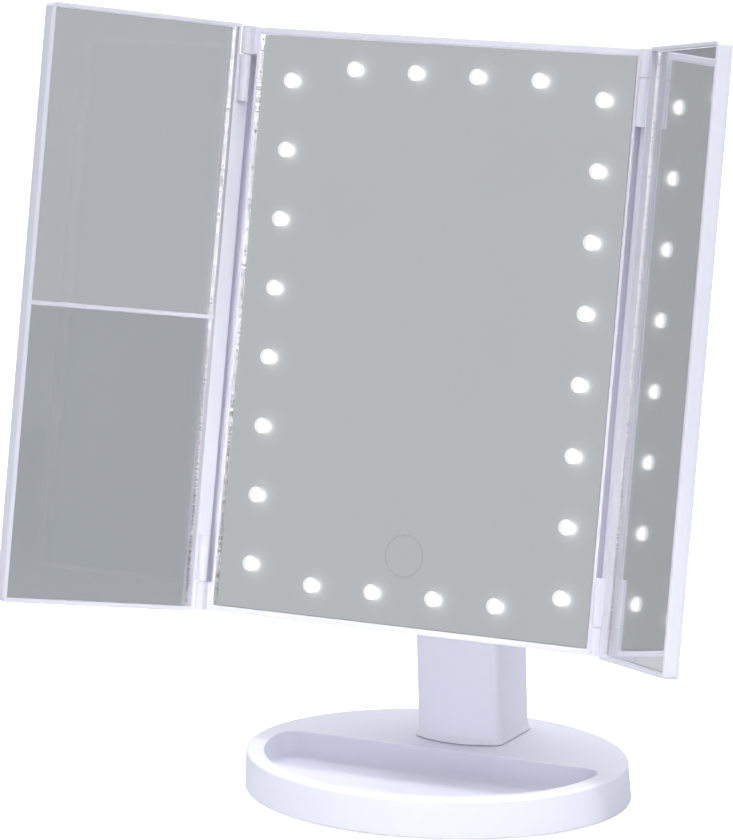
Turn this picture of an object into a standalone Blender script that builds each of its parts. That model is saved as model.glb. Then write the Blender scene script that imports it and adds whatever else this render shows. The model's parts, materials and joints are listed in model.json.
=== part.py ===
"""Lighted tri-fold vanity mirror on an oval base with a tray.

The object stands on the XY plane with +Z up and faces -Y. Its origin is the
centre of the base's underside. The mirror panel leans back on a post, and a
folding wing is hinged to each of its sides.

The panel's pieces are drawn in the panel's own frame: x across, y to the
back and z up from the panel's bottom edge. A wing's pieces are drawn as the
wing lies flat open, from its hinge axis: x outwards, y to the back, z up.
"""
import math

import bmesh
import bpy
from mathutils import Matrix, Vector

MM = 0.001
GAP = 0.3 * MM              # room between two pieces that touch
SLIP = 0.1 * MM             # radial room of a pin that turns

# Base
BASE_A = 76.1 * MM          # half width of the top
BASE_B = 57.5 * MM          # half depth of the top
BASE_H = 15.0 * MM
BASE_DRAFT = 0.8 * MM       # the side wall is this much wider at the bottom
BASE_WALL = 2.0 * MM
BASE_TOP_ROUND = 1.4 * MM
BASE_FOOT_ROUND = 0.8 * MM
TRAY_FLOOR_Z = 4.5 * MM
TRAY_BACK_Y = 5.0 * MM
TRAY_LAND_X = 7.6 * MM      # rim left between the tray and the side, at the ends
TRAY_LAND_Y = 4.6 * MM      # the same at the front
TRAY_CORNER = 7.0 * MM
TRAY_FILLET = 1.8 * MM
COVER_T = 1.6 * MM
FOOT_R = 6.0 * MM
FOOT_PROUD = 0.9 * MM
FOOT_SUNK = 0.6 * MM
FOOT_X = 50.0 * MM
FOOT_Y = 26.0 * MM
BOSS_R = 3.2 * MM
BOSS_AT = ((56.0 * MM, 17.0 * MM), (32.0 * MM, 43.0 * MM))
BASE_SCREW_L = 9.0 * MM
BALLAST_HALF_W = 23.0 * MM
BALLAST_DEPTH = 31.0 * MM
BALLAST_BEHIND = 8.0 * MM   # from the tray's back wall to the plate
BALLAST_T = 5.0 * MM
BALLAST_CORNER = 3.0 * MM

# Screws
SCREW_R = 1.1 * MM
SCREW_HEAD_R = 2.5 * MM
SCREW_HEAD_H = 1.3 * MM
SCREW_ROOM = 0.25 * MM

# Post
POST_HALF_W = 17.6 * MM
POST_FRONT_Y = 13.6 * MM
POST_BACK_Y = 44.0 * MM
POST_BULGE = 4.6 * MM       # how far the front face bows out
POST_CORNER = 3.0 * MM
POST_WALL = 2.2 * MM
POST_FLARE = 1.0 * MM
POST_FLARE_H = 3.0 * MM
POST_STRAIGHT_H = 84.0 * MM
POST_HEAD_R = 13.0 * MM
POST_FOOT_BLOCK_H = 12.0 * MM
POST_FOOT_BLOCK_HALF = 13.0 * MM
POST_SCREW_X = 8.0 * MM
POST_SCREW_BACK = 7.0 * MM  # the foot screws stand this far before the split
POST_SCREW_L = 11.5 * MM
CLAMP_LOW = 34.0 * MM       # the lower clamping screw, above the base
CLAMP_HIGH = 38.0 * MM      # the upper one, below the pivot
CLAMP_SLEEVE_R = 3.2 * MM
CLAMP_SINK_R = 4.4 * MM
CLAMP_OVERLAP = 3.0 * MM    # the front sleeve reaches this far past the split

# Panel
LEAN = math.radians(13.49)
PANEL_W = 172.0 * MM
PANEL_H = 221.5 * MM
PANEL_EDGE_Y = -27.35 * MM  # the panel frame's origin, above the base
PANEL_EDGE_Z = 69.0 * MM
FRONT_Y = -1.2 * MM         # the bezel's front face
BEZEL_T = 6.5 * MM
COVER_DEPTH = 7.2 * MM      # the rear cover, from its open edge to its back face
PANEL_CORNER = 3.0 * MM
PANEL_WALL = 1.8 * MM
FRONT_ROUND = 0.6 * MM
BACK_ROUND = 3.5 * MM
SIDE_STRIP_W = 6.8 * MM     # from the bezel's side to its glass, with the hinge on it
RIM_LOW = 2.3 * MM
RIM_HIGH = 2.6 * MM
LIP_W = 1.5 * MM            # the raised lip between the glass and the hinge's rebate
GLASS_SUNK = 0.2 * MM
GLASS_T = 2.2 * MM
GLASS_ROOM = 0.15 * MM
LEDGE_W = 6.8 * MM          # the ledge behind the glass
LEDGE_T = 1.3 * MM
PILLAR_R = 2.6 * MM
PILLAR_IN = 3.6 * MM        # the screw pillars stand this far inside the glass's edge
PILLAR_UP = 10.0 * MM       # and this far from the panel's top and bottom
PILLAR_PILOT = 7.0 * MM
SCREW_SUNK = 1.04 * MM      # depth of the sink that a screw's head lies in
COVER_SCREW_L = 8.0 * MM

# Lamps
LAMP_IN = 13.53 * MM        # the side columns stand this far inside the glass's edge
LAMP_COUNT_SIDE = 8
LAMP_LOW = 17.1 * MM        # the columns' ends, from the glass's bottom and top edges
LAMP_HIGH = 16.8 * MM
LAMP_ROW_OUT = 5.6 * MM     # the rows stand this far outside the columns' ends
LAMP_ROW_IN = 26.77 * MM    # a row's end lamp, from the side column
LAMP_COUNT_ROW = 4
LAMP_W = 3.5 * MM
LAMP_T = 1.0 * MM
STRIP_W = 8.0 * MM
STRIP_T = 0.8 * MM
STRIP_END = 5.5 * MM        # a side strip runs this far past its last lamp
STRIP_END_ROW = 8.0 * MM
CARRIER_T = 0.8 * MM
CARRIER_CORNER = 4.0 * MM

# Pivot between post and panel
PIVOT_Y = 28.0 * MM
PIVOT_Z = 150.0 * MM
EAR_T = 5.0 * MM
EAR_R = 10.0 * MM
EAR_ROOT_HALF = 19.0 * MM
WASHER_T = 1.2 * MM
WASHER_R = 8.5 * MM
BOLT_R = 3.0 * MM
BOLT_ROOM = 0.2 * MM
BOLT_HEAD_R = 5.2 * MM
BOLT_HEAD_T = 2.6 * MM

# Battery bay, its door and the hump round them, on the panel's back
CELL_R = 5.25 * MM
CELL_L = 44.5 * MM
CELL_NOSE_R = 1.9 * MM
CELL_NOSE_L = 1.0 * MM
CELL_COUNT = 4
CELL_SPACE = 0.9 * MM       # between two cells
HOLDER_WALL = 1.2 * MM
HOLDER_LIFT = 0.6 * MM      # the holder's floor, behind the cover's open edge
BAY_END = 4.15 * MM         # room at a cell's end, with the contact and the holder's wall
BAY_SIDE = 1.7 * MM         # room beside the first and last cell
CONTACT_STEP = 0.6 * MM
DOOR_OVER = 3.1 * MM        # the door covers the bay and this much more
DOOR_LOW = 3.0 * MM
DOOR_BEVEL = 1.2 * MM
DOOR_T = 1.8 * MM
HUMP_SIDE = 4.5 * MM        # from the door's edge to the hump's side
HUMP_GAP = 3.28 * MM        # from the ears' roots up to the hump
HUMP_LOW = 13.5 * MM        # from the hump's lower edge to the bay
HUMP_HIGH = 9.5 * MM        # from the bay to the hump's upper edge
HUMP_WALL = 1.8 * MM
HUMP_ROUND = 2.5 * MM
HUMP_FLARE = 1.5 * MM
RIDGE_HALF_W = 8.0 * MM
RIDGE_PITCH = 2.0 * MM
RIDGE_COUNT = 5

# Touch pad, board, socket and switch
TOUCH_Z = 28.5 * MM
TOUCH_R = 8.0 * MM
TOUCH_T = 1.0 * MM
BOARD_HALF_W = 26.0 * MM
BOARD_Z = (46.0 * MM, 70.0 * MM)
BOARD_T = 1.6 * MM
BOARD_LIFT = 1.2 * MM       # the board, behind the cover's open edge
CHIP_T = 1.0 * MM
PLUG_T = 1.6 * MM
USB_X = 34.0 * MM
USB_HALF_W = 3.9 * MM
USB_HALF_H = 1.5 * MM
USB_DEPTH = 5.6 * MM
USB_CORNER = 1.1 * MM
USB_SKIN = 0.35 * MM
SWITCH_X = -36.0 * MM
SWITCH_Z = 36.0 * MM
SWITCH_TRAVEL = 3.0 * MM
SWITCH_KNOB_W = 4.0 * MM
SWITCH_KNOB_H = 3.2 * MM
SWITCH_PROUD = 0.6 * MM
SWITCH_CASE_T = 2.4 * MM
SWITCH_DISH = 0.8 * MM

# Wing hinges
HINGE_OUT = 2.0 * MM        # the hinge's axis stands this far before the bezel's face
BARREL_R = 2.1 * MM
BARREL_H = 10.6 * MM        # the bezel's barrel at each end
KNUCKLE_H = 17.6 * MM       # the wing's knuckle next to it
BARREL_WEB = 2.0 * MM
PIN_R = 0.9 * MM
PIN_IN_BARREL = 7.5 * MM
PIN_END = 2.0 * MM
PIN_HOLE_END = 0.5 * MM     # room past the pin's end
HEEL_ROOM = 0.4 * MM        # between the wing's turning edge and the rebate's floor

# Wings
WING_REST_LEFT = math.radians(60.7)
WING_REST_RIGHT = math.radians(47.8)
WING_MEET = 0.2 * MM        # from each closed wing's edge to the middle
WING_FRONT = 0.8 * MM       # the wing's front face, behind the hinge axis
WING_T = 5.8 * MM
WING_HEEL = 3.0 * MM        # the wing's edge reaches this far past the axis
WING_HINGE_RIM = 3.2 * MM
WING_RIM = 1.6 * MM
WING_GLASS_SUNK = 2.4 * MM
WING_GLASS_T = 2.0 * MM
WING_CORNER = 2.0 * MM
WING_SOFT = 0.5 * MM        # the small radius along the wing's edges
WING_STEP = 0.6 * MM        # where the back cover meets the hinge bar
SHOULDER_ROOM = 0.4 * MM    # between the wing's ends and the bezel's barrels
SHOULDER_ROUND = 1.0 * MM
DIVIDER_W = 1.4 * MM
DIVIDER_T = 1.9 * MM

SMOOTH = math.radians(32)
FAR = 1.0                   # past the object, for a cut that runs right out of it

# Sizes that follow from the ones above
HALF_W = PANEL_W / 2
GLASS_HALF_W = HALF_W - SIDE_STRIP_W
LIP_X = GLASS_HALF_W + LIP_W
GLASS_TOP_Z = PANEL_H - RIM_HIGH
GLASS_FRONT_Y = FRONT_Y + GLASS_SUNK
GLASS_BACK_Y = GLASS_FRONT_Y + GLASS_T
LEDGE_Y = GLASS_BACK_Y + GAP
LEDGE_BACK_Y = LEDGE_Y + LEDGE_T
BEZEL_BACK_Y = FRONT_Y + BEZEL_T
COVER_FRONT_Y = BEZEL_BACK_Y + GAP
PANEL_BACK_Y = COVER_FRONT_Y + COVER_DEPTH
BACK_FACE_Y = PANEL_BACK_Y - PANEL_WALL
LAMP_X = GLASS_HALF_W - LAMP_IN
LAMP_LOW_Z = RIM_LOW + LAMP_LOW
LAMP_HIGH_Z = GLASS_TOP_Z - LAMP_HIGH
HINGE_X = HALF_W - BARREL_R
HINGE_Y = FRONT_Y - HINGE_OUT
WING_W = HINGE_X - WING_MEET
WING_BACK = WING_FRONT + WING_T
WING_GLASS_FRONT = WING_FRONT + WING_GLASS_SUNK
WING_GLASS_BACK = WING_GLASS_FRONT + WING_GLASS_T
REBATE_Y = HINGE_Y + WING_BACK + HEEL_ROOM
POST_SPLIT_Y = (POST_FRONT_Y + POST_BACK_Y) / 2 + 1.5 * MM
PIVOT_LOCAL = Vector((
    0,
    (PIVOT_Y - PANEL_EDGE_Y) * math.cos(LEAN) - (PIVOT_Z - PANEL_EDGE_Z) * math.sin(LEAN),
    (PIVOT_Y - PANEL_EDGE_Y) * math.sin(LEAN) + (PIVOT_Z - PANEL_EDGE_Z) * math.cos(LEAN),
))
WASHER_X = POST_HALF_W + GAP
EAR_X = WASHER_X + WASHER_T + GAP
CELL_PITCH = 2 * CELL_R + CELL_SPACE
HUMP_LOW_Z = PIVOT_LOCAL.z + EAR_ROOT_HALF + HUMP_GAP
BAY_HALF_W = CELL_L / 2 + BAY_END
BAY_LOW_Z = HUMP_LOW_Z + HUMP_LOW
BAY_HIGH_Z = BAY_LOW_Z + CELL_COUNT * CELL_PITCH + 2 * BAY_SIDE
HUMP_HIGH_Z = BAY_HIGH_Z + HUMP_HIGH
HOLDER_FLOOR_Y = COVER_FRONT_Y + HOLDER_LIFT
CELL_Y = HOLDER_FLOOR_Y + HOLDER_WALL + GAP + CELL_R
HOLDER_RIM_Y = CELL_Y + CELL_R + 0.2 * MM
HUMP_BACK_Y = HOLDER_RIM_Y + 2 * GAP + DOOR_T
DOOR_HALF_W = BAY_HALF_W + DOOR_OVER
DOOR_LOW_Z = BAY_LOW_Z - DOOR_LOW
HUMP_HALF_W = DOOR_HALF_W + HUMP_SIDE


# ---------------------------------------------------------------- helpers

def clear_scene():
    for obj in list(bpy.data.objects):
        bpy.data.objects.remove(obj, do_unlink=True)


def material(name, colour, roughness, metallic=0.0):
    found = bpy.data.materials.get(name)
    if found:
        return found
    made = bpy.data.materials.new(name)
    made.use_nodes = True
    shader = made.node_tree.nodes["Principled BSDF"]
    shader.inputs["Base Color"].default_value = (*colour, 1.0)
    shader.inputs["Roughness"].default_value = roughness
    shader.inputs["Metallic"].default_value = metallic
    return made


def white_plastic():
    return material("white_plastic", (0.80, 0.80, 0.86), 0.35)


def silvered_glass():
    return material("silvered_glass", (0.62, 0.64, 0.65), 0.04, 1.0)


def steel():
    return material("steel", (0.62, 0.62, 0.60), 0.3, 1.0)


def black_plastic():
    return material("black_plastic", (0.03, 0.03, 0.035), 0.45)


def piece(name, bm, look, parent=None):
    """Turn a bmesh into a named object, shaded smooth across shallow angles."""
    bmesh.ops.recalc_face_normals(bm, faces=bm.faces)
    mesh = bpy.data.meshes.new(name)
    bm.to_mesh(mesh)
    bm.free()
    return place(name, mesh, look, parent)


def place(name, mesh, look, parent=None):
    obj = bpy.data.objects.new(name, mesh)
    bpy.context.scene.collection.objects.link(obj)
    if look:
        mesh.materials.clear()
        mesh.materials.append(look)
    mesh.shade_smooth()
    mesh.set_sharp_from_angle(angle=SMOOTH)
    obj.parent = parent
    return obj


def boolean(target, shapes, operation):
    """Add or cut shapes drawn in the target's own frame, and keep the result as its mesh."""
    tools = [shape if isinstance(shape, bpy.types.Object) else helper(shape) for shape in shapes]
    for tool in tools:
        tool.parent = target.parent
        tool.location = target.location
        modifier = target.modifiers.new(operation.lower(), "BOOLEAN")
        modifier.object = tool
        modifier.operation = operation
        modifier.solver = "EXACT"
    bpy.context.view_layer.update()
    graph = bpy.context.evaluated_depsgraph_get()
    mesh = bpy.data.meshes.new_from_object(target.evaluated_get(graph))
    target.modifiers.clear()
    target.data = mesh
    mesh.shade_smooth()
    mesh.set_sharp_from_angle(angle=SMOOTH)
    for tool in tools:
        bpy.data.objects.remove(tool, do_unlink=True)


def cut(target, *shapes):
    boolean(target, shapes, "DIFFERENCE")


def add(target, *shapes):
    boolean(target, shapes, "UNION")


def keep_common(target, shape):
    boolean(target, [shape], "INTERSECT")


def helper(bm):
    """A solid for a cut or a union; it takes no material of its own."""
    return piece("helper", bm, None)


def block(x, y, z):
    """A box between the pairs x, y and z."""
    bm = bmesh.new()
    size = Vector((x[1] - x[0], y[1] - y[0], z[1] - z[0]))
    middle = Vector((x[0] + x[1], y[0] + y[1], z[0] + z[1])) / 2
    bmesh.ops.create_cube(bm, size=1, matrix=Matrix.Translation(middle) @ Matrix.Diagonal((*size, 1)))
    return bm


def edges_along(bm, axis, where=None):
    """The bmesh's straight edges along one axis, kept by a test on their middle point."""
    found = []
    for edge in bm.edges:
        run = (edge.verts[1].co - edge.verts[0].co).normalized()
        middle = (edge.verts[0].co + edge.verts[1].co) / 2
        if abs(abs(run[axis]) - 1) < 1e-4 and (where is None or where(middle)):
            found.append(edge)
    return found


def round_edges(bm, edges, radius, segments):
    bmesh.ops.bevel(bm, geom=edges, offset=radius, segments=segments, profile=0.5, affect="EDGES")


def prism(outline, low, high, axis=2):
    """Extrude a closed outline of two-number points along an axis, from low to high."""
    bm = bmesh.new()
    order = {0: (1, 2), 1: (0, 2), 2: (0, 1)}[axis]
    corners = []
    for point in outline:
        place_at = [0.0, 0.0, 0.0]
        place_at[order[0]] = point[0]
        place_at[order[1]] = point[1]
        place_at[axis] = low
        corners.append(bm.verts.new(place_at))
    face = bm.faces.new(corners)
    grown = bmesh.ops.extrude_face_region(bm, geom=[face])
    moved = [item for item in grown["geom"] if isinstance(item, bmesh.types.BMVert)]
    shift = Vector((0, 0, 0))
    shift[axis] = high - low
    bmesh.ops.translate(bm, verts=moved, vec=shift)
    return bm


def loft(rings):
    """Join rings of the same number of 3-D points by walls, and close both ends."""
    bm = bmesh.new()
    made = [[bm.verts.new(point) for point in ring] for ring in rings]
    for lower, upper in zip(made, made[1:]):
        count = len(lower)
        for i in range(count):
            j = (i + 1) % count
            bm.faces.new((lower[i], lower[j], upper[j], upper[i]))
    bm.faces.new(made[0][::-1])
    bm.faces.new(made[-1])
    return bm


def rod(radius, low, high, axis, centre=(0.0, 0.0, 0.0), sides=32):
    """A round bar along an axis through the centre point, from low to high on that axis."""
    outline = arc((0.0, 0.0), radius, 0.0, 2 * math.pi, sides)[:-1]
    order = {0: (1, 2), 1: (0, 2), 2: (0, 1)}[axis]
    outline = [(centre[order[0]] + a, centre[order[1]] + b) for a, b in outline]
    return prism(outline, low, high, axis)


def stepped_rod(steps, axis, centre, sides=24):
    """A round bar whose radius changes in steps, as pairs of a radius and a place on the axis."""
    order = [i for i in range(3) if i != axis]
    rings = []
    for radius, along in steps:
        ring = []
        for a, b in arc((centre[order[0]], centre[order[1]]), radius, 0.0, 2 * math.pi, sides)[:-1]:
            point = [0.0, 0.0, 0.0]
            point[order[0]] = a
            point[order[1]] = b
            point[axis] = along
            ring.append(point)
        rings.append(ring)
    return loft(rings)


def screw_hole(axis, centre, start, seat, mouth):
    """A clearance hole from start to seat, then the wider sink of the head out to the mouth."""
    thin = SCREW_R + SCREW_ROOM
    wide = SCREW_HEAD_R + SCREW_ROOM
    return stepped_rod([(thin, start), (thin, seat), (wide, seat), (wide, mouth)], axis, centre)


def arc(centre, radius, start, end, steps):
    """Points on a circle from one angle to another, both ends included."""
    points = []
    for i in range(steps + 1):
        angle = start + (end - start) * i / steps
        points.append((centre[0] + radius * math.cos(angle), centre[1] + radius * math.sin(angle)))
    return points


def merge(*parts):
    """Put separate closed shapes into one bmesh, for use as one cutter."""
    whole = bmesh.new()
    for part in parts:
        mesh = bpy.data.meshes.new("part")
        part.to_mesh(mesh)
        part.free()
        whole.from_mesh(mesh)
        bpy.data.meshes.remove(mesh)
    return whole


def screw(name, head_at, axis, direction, length, panel=None):
    """A pan-head screw whose head's outer face is at head_at and whose shank runs along direction."""
    low_head, high_head = sorted((head_at[axis], head_at[axis] + direction * SCREW_HEAD_H))
    head = rod(SCREW_HEAD_R, low_head, high_head, axis, head_at, 18)
    body = panel_piece(name, head, steel(), panel) if panel else piece(name, head, steel())
    start = head_at[axis] + direction * SCREW_HEAD_H / 2
    low, high = sorted((start, head_at[axis] + direction * length))
    add(body, rod(SCREW_R, low, high, axis, head_at, 10))
    slot_w = SCREW_HEAD_R * 0.22
    slot_l = SCREW_HEAD_R * 0.6
    slot_d = sorted((head_at[axis] - direction * GAP, head_at[axis] + direction * SCREW_HEAD_H * 0.6))
    for turned in (False, True):
        spans = [None, None, None]
        spans[axis] = slot_d
        across = [i for i in range(3) if i != axis]
        halves = (slot_l, slot_w) if turned else (slot_w, slot_l)
        for i, half in zip(across, halves):
            spans[i] = (head_at[i] - half, head_at[i] + half)
        cut(body, block(*spans))
    return body


# ---------------------------------------------------------------- base

def oval(grow, z, count=72):
    """The base's oval, grown outwards, at a height."""
    points = []
    for i in range(count):
        angle = 2 * math.pi * i / count
        points.append(((BASE_A + grow) * math.cos(angle), (BASE_B + grow) * math.sin(angle), z))
    return points


def base_side_rings():
    """Rings up the base's side wall: a small foot radius, the drafted wall, the top radius."""
    rings = []
    for i in range(3):
        angle = math.pi / 2 * i / 2
        grow = BASE_DRAFT - BASE_FOOT_ROUND * (1 - math.sin(angle))
        rings.append(oval(grow, BASE_FOOT_ROUND * (1 - math.cos(angle))))
    for i in range(4):
        angle = math.pi / 2 * i / 3
        grow = -BASE_TOP_ROUND * (1 - math.cos(angle))
        rings.append(oval(grow, BASE_H - BASE_TOP_ROUND * (1 - math.sin(angle))))
    return rings


def tray_outline(shrink, z):
    """The tray's edge, moved inwards: a straight back, round ends and a front along the base's rim."""
    half_x = BASE_A - TRAY_LAND_X - shrink
    half_y = BASE_B - TRAY_LAND_Y - shrink
    back = TRAY_BACK_Y - shrink
    corner = max(TRAY_CORNER - shrink, 0.5 * MM)
    centre_y = back - corner
    inner_x = half_x - corner
    inner_y = half_y - corner
    turn = math.asin(centre_y / inner_y)
    centre_x = inner_x * math.cos(turn)
    normal = math.atan2(math.sin(turn) / inner_y, math.cos(turn) / inner_x)
    right = arc((centre_x, centre_y), corner, math.pi / 2, normal, 6)
    front = []
    steps = 40
    for i in range(1, steps):
        angle = turn + (-math.pi - 2 * turn) * i / steps
        front.append((half_x * math.cos(angle), half_y * math.sin(angle)))
    left = [(-x, y) for x, y in reversed(right)]
    return [(x, y, z) for x, y in right + front + left]


def boss_places():
    return [(side * x, y) for x, y in BOSS_AT for side in (-1, 1)]


def make_base():
    shell = piece("base_shell", loft(base_side_rings()), white_plastic())
    under_top = BASE_H - BASE_WALL
    room = helper(loft([oval(-BASE_WALL, -GAP * 4), oval(-BASE_WALL, under_top)]))
    bowl_low = TRAY_FLOOR_Z - BASE_WALL + SLIP * 2
    bowl = helper(loft([tray_outline(-BASE_WALL, bowl_low), tray_outline(-BASE_WALL, BASE_H)]))
    cut(room, bowl)
    posts = [rod(BOSS_R, COVER_T + GAP, BASE_H, 2, (x, y, 0), 24) for x, y in boss_places()]
    cut(room, merge(*posts))
    cut(shell, room)
    tray_rings = []
    for i in range(4):
        angle = math.pi / 2 * i / 3
        shrink = TRAY_FILLET * (1 - math.sin(angle))
        tray_rings.append(tray_outline(shrink, TRAY_FLOOR_Z + TRAY_FILLET * (1 - math.cos(angle))))
    tray_rings.append(tray_outline(0, BASE_H + GAP * 4))
    cut(shell, loft(tray_rings))
    pilots = [rod(SCREW_R + SLIP, 0, BASE_H - BASE_WALL, 2, (x, y, 0), 16) for x, y in boss_places()]
    foot_holes = [rod(SCREW_R + SCREW_ROOM, 0, BASE_H + GAP, 2, (x, y, 0), 16)
                  for x, y in post_screw_places()]
    cut(shell, merge(*pilots, *foot_holes))

    cover = piece("base_bottom_cover",
                  loft([oval(-BASE_WALL - GAP, 0), oval(-BASE_WALL - GAP, COVER_T)]), white_plastic())
    holes = [screw_hole(2, (x, y, 0), COVER_T + GAP, SCREW_HEAD_H * 0.6, -GAP) for x, y in boss_places()]
    sockets = [rod(FOOT_R + GAP, -GAP, FOOT_SUNK, 2, (x, y, 0), 32) for x, y in foot_places()]
    cut(cover, merge(*holes, *sockets))

    for i, (x, y) in enumerate(boss_places(), 1):
        screw(f"base_screw_{i}", (x, y, -SCREW_HEAD_H * 0.4 - GAP), 2, 1, BASE_SCREW_L)
    rubber = material("grey_foam_rubber", (0.32, 0.32, 0.34), 0.9)
    for i, (x, y) in enumerate(foot_places(), 1):
        pad = rod(FOOT_R, -FOOT_PROUD, FOOT_SUNK - GAP, 2, (x, y, 0), 32)
        piece(f"foot_pad_{i}", pad, rubber)
    low = COVER_T + GAP
    near = TRAY_BACK_Y + BALLAST_BEHIND
    ballast = block((-BALLAST_HALF_W, BALLAST_HALF_W), (near, near + BALLAST_DEPTH), (low, low + BALLAST_T))
    round_edges(ballast, edges_along(ballast, 2), BALLAST_CORNER, 4)
    plate = piece("ballast_plate", ballast, steel())
    head_room = [rod(SCREW_HEAD_R + SCREW_ROOM * 2, 0, BASE_H, 2, (x, y, 0), 24)
                 for x, y in post_screw_places()]
    cut(plate, merge(*head_room))


def foot_places():
    return [(sx * FOOT_X, sy * FOOT_Y) for sy in (-1, 1) for sx in (-1, 1)]


# ---------------------------------------------------------------- post

def post_screw_places():
    y = POST_SPLIT_Y - POST_SCREW_BACK
    return [(-POST_SCREW_X, y), (POST_SCREW_X, y)]


def post_plan(grow):
    """The post's outline seen from above: bowed front, round corners, flat back."""
    half = POST_HALF_W + grow
    front = POST_FRONT_Y - grow
    back = POST_BACK_Y + grow
    corner = max(POST_CORNER + grow, 0.4 * MM)
    bow_r = (half * half + POST_BULGE * POST_BULGE) / (2 * POST_BULGE)
    bow_centre = front + bow_r
    corner_x = half - corner
    corner_y = bow_centre - math.sqrt((bow_r - corner) ** 2 - corner_x ** 2)
    lean = math.atan2(corner_y - bow_centre, corner_x)
    points = arc((corner_x, back - corner), corner, math.pi / 2, 0, 4)
    points += arc((corner_x, corner_y), corner, 0, lean, 4)
    points += arc((0, bow_centre), bow_r, lean, -math.pi - lean, 12)[1:-1]
    points += arc((-corner_x, corner_y), corner, -math.pi - lean, -math.pi, 4)
    points += arc((-corner_x, back - corner), corner, math.pi, math.pi / 2, 4)
    return points


def post_profile(grow):
    """The post's outline from the side, in y and z: upright, then narrowing to a round head."""
    front = POST_FRONT_Y - POST_FLARE * 2 - grow
    back = POST_BACK_Y + POST_FLARE * 2 + grow
    narrow_front = POST_FRONT_Y - grow
    narrow_back = POST_BACK_Y + grow
    low = BASE_H
    head = arc((PIVOT_Y, PIVOT_Z), POST_HEAD_R + grow, math.radians(-4), math.radians(184), 18)
    knee = POST_STRAIGHT_H
    rise = low + POST_FLARE_H * 2
    lower_right = [(back, low), (back, rise), (narrow_back, rise + MM), (narrow_back, knee)]
    lower_left = [(narrow_front, knee), (narrow_front, rise + MM), (front, rise), (front, low)]
    return lower_right + head + lower_left


def post_solid(name, grow, foot_z, look):
    """The post's body or, drawn inwards, the room inside it."""
    rings = []
    flare = POST_FLARE if grow == 0 else 0
    steps = 3
    for i in range(steps + 1):
        share = i / steps
        out = flare * (1 - math.sin(math.pi / 2 * share))
        z = foot_z + POST_FLARE_H * share
        rings.append([(x, y, z) for x, y in post_plan(grow + out)])
    top = PIVOT_Z + POST_HEAD_R * 2
    rings.append([(x, y, top) for x, y in post_plan(grow)])
    solid = piece(name, loft(rings), look)
    keep_common(solid, prism(post_profile(grow), -FAR, FAR, 0))
    return solid


def make_post():
    foot_z = BASE_H + GAP
    halves = (("post_front_shell", (-FAR, POST_SPLIT_Y - GAP / 2)),
              ("post_rear_shell", (POST_SPLIT_Y + GAP / 2, FAR)))
    for name, span in halves:
        shell = post_solid(name, 0, foot_z, white_plastic())
        room = post_solid("helper", -POST_WALL, foot_z + POST_WALL, None)
        front = name == "post_front_shell"
        if front:
            foot_block = block((-POST_FOOT_BLOCK_HALF, POST_FOOT_BLOCK_HALF), (0, POST_SPLIT_Y - POST_WALL),
                               (0, foot_z + POST_FOOT_BLOCK_H))
            cut(room, foot_block)
        cut(shell, room)
        keep_common(shell, block((-FAR, FAR), span, (0, FAR)))
        cut(shell, rod(BOLT_R + BOLT_ROOM, -FAR, FAR, 0, (0, PIVOT_Y, PIVOT_Z), 32))
        if front:
            pilots = [rod(SCREW_R + SLIP, BASE_H, foot_z + POST_FOOT_BLOCK_H - POST_WALL, 2, (x, y, 0), 16)
                      for x, y in post_screw_places()]
            cut(shell, merge(*pilots))
    for i, (x, y) in enumerate(post_screw_places(), 1):
        head = BASE_H - BASE_WALL - GAP - SCREW_HEAD_H
        screw(f"post_foot_screw_{i}", (x, y, head), 2, 1, POST_SCREW_L)


def make_post_clamps():
    """Two screws join the post's halves: a sleeve on the front half takes each one."""
    front = bpy.data.objects["post_front_shell"]
    rear = bpy.data.objects["post_rear_shell"]
    heights = (BASE_H + CLAMP_LOW, PIVOT_Z - CLAMP_HIGH)
    lap = POST_SPLIT_Y + CLAMP_OVERLAP
    near = POST_FRONT_Y + POST_WALL / 2
    for i, z in enumerate(heights, 1):
        at = (0, 0, z)
        seat = rear_face_y(z) - POST_WALL
        add(front, rod(CLAMP_SLEEVE_R, near, lap, 1, at, 24))
        cut(front, rod(SCREW_R + SLIP, near + CLAMP_OVERLAP, FAR, 1, at, 16))
        add(rear, rod(CLAMP_SINK_R, lap + GAP, seat + POST_WALL / 2, 1, at, 24))
        cut(rear, screw_hole(1, at, POST_SPLIT_Y, seat, FAR))
        head = seat + GAP + SCREW_HEAD_H
        tip = POST_SPLIT_Y - CLAMP_OVERLAP * 2
        screw(f"post_shell_screw_{i}", (0, head, z), 1, -1, head - tip)


def rear_face_y(z):
    """Where the post's rear face is at a height."""
    if z <= POST_STRAIGHT_H:
        return POST_BACK_Y
    head_y = PIVOT_Y + POST_HEAD_R
    share = (z - POST_STRAIGHT_H) / (PIVOT_Z - POST_STRAIGHT_H)
    return POST_BACK_Y + (head_y - POST_BACK_Y) * share


def make_pivot():
    nylon = material("black_nylon", (0.03, 0.03, 0.03), 0.5)
    at = (0, PIVOT_Y, PIVOT_Z)
    outer = EAR_X + EAR_T + GAP
    shank = rod(BOLT_R, -outer - BOLT_HEAD_T / 2, outer + BOLT_HEAD_T + GAP, 0, at)
    bolt = piece("pivot_bolt", shank, steel())
    add(bolt, rod(BOLT_HEAD_R, -outer - BOLT_HEAD_T, -outer, 0, at))
    nut = piece("pivot_nut", rod(BOLT_HEAD_R, outer, outer + BOLT_HEAD_T, 0, at, 6), steel())
    cut(nut, rod(BOLT_R + SLIP, 0, FAR, 0, at))
    for side, word in ((-1, "left"), (1, "right")):
        low, high = sorted((side * WASHER_X, side * (WASHER_X + WASHER_T)))
        ring = piece(f"friction_washer_{word}", rod(WASHER_R, low, high, 0, at), nylon)
        cut(ring, rod(BOLT_R + BOLT_ROOM, -FAR, FAR, 0, at))


# ---------------------------------------------------------------- panel

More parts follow.
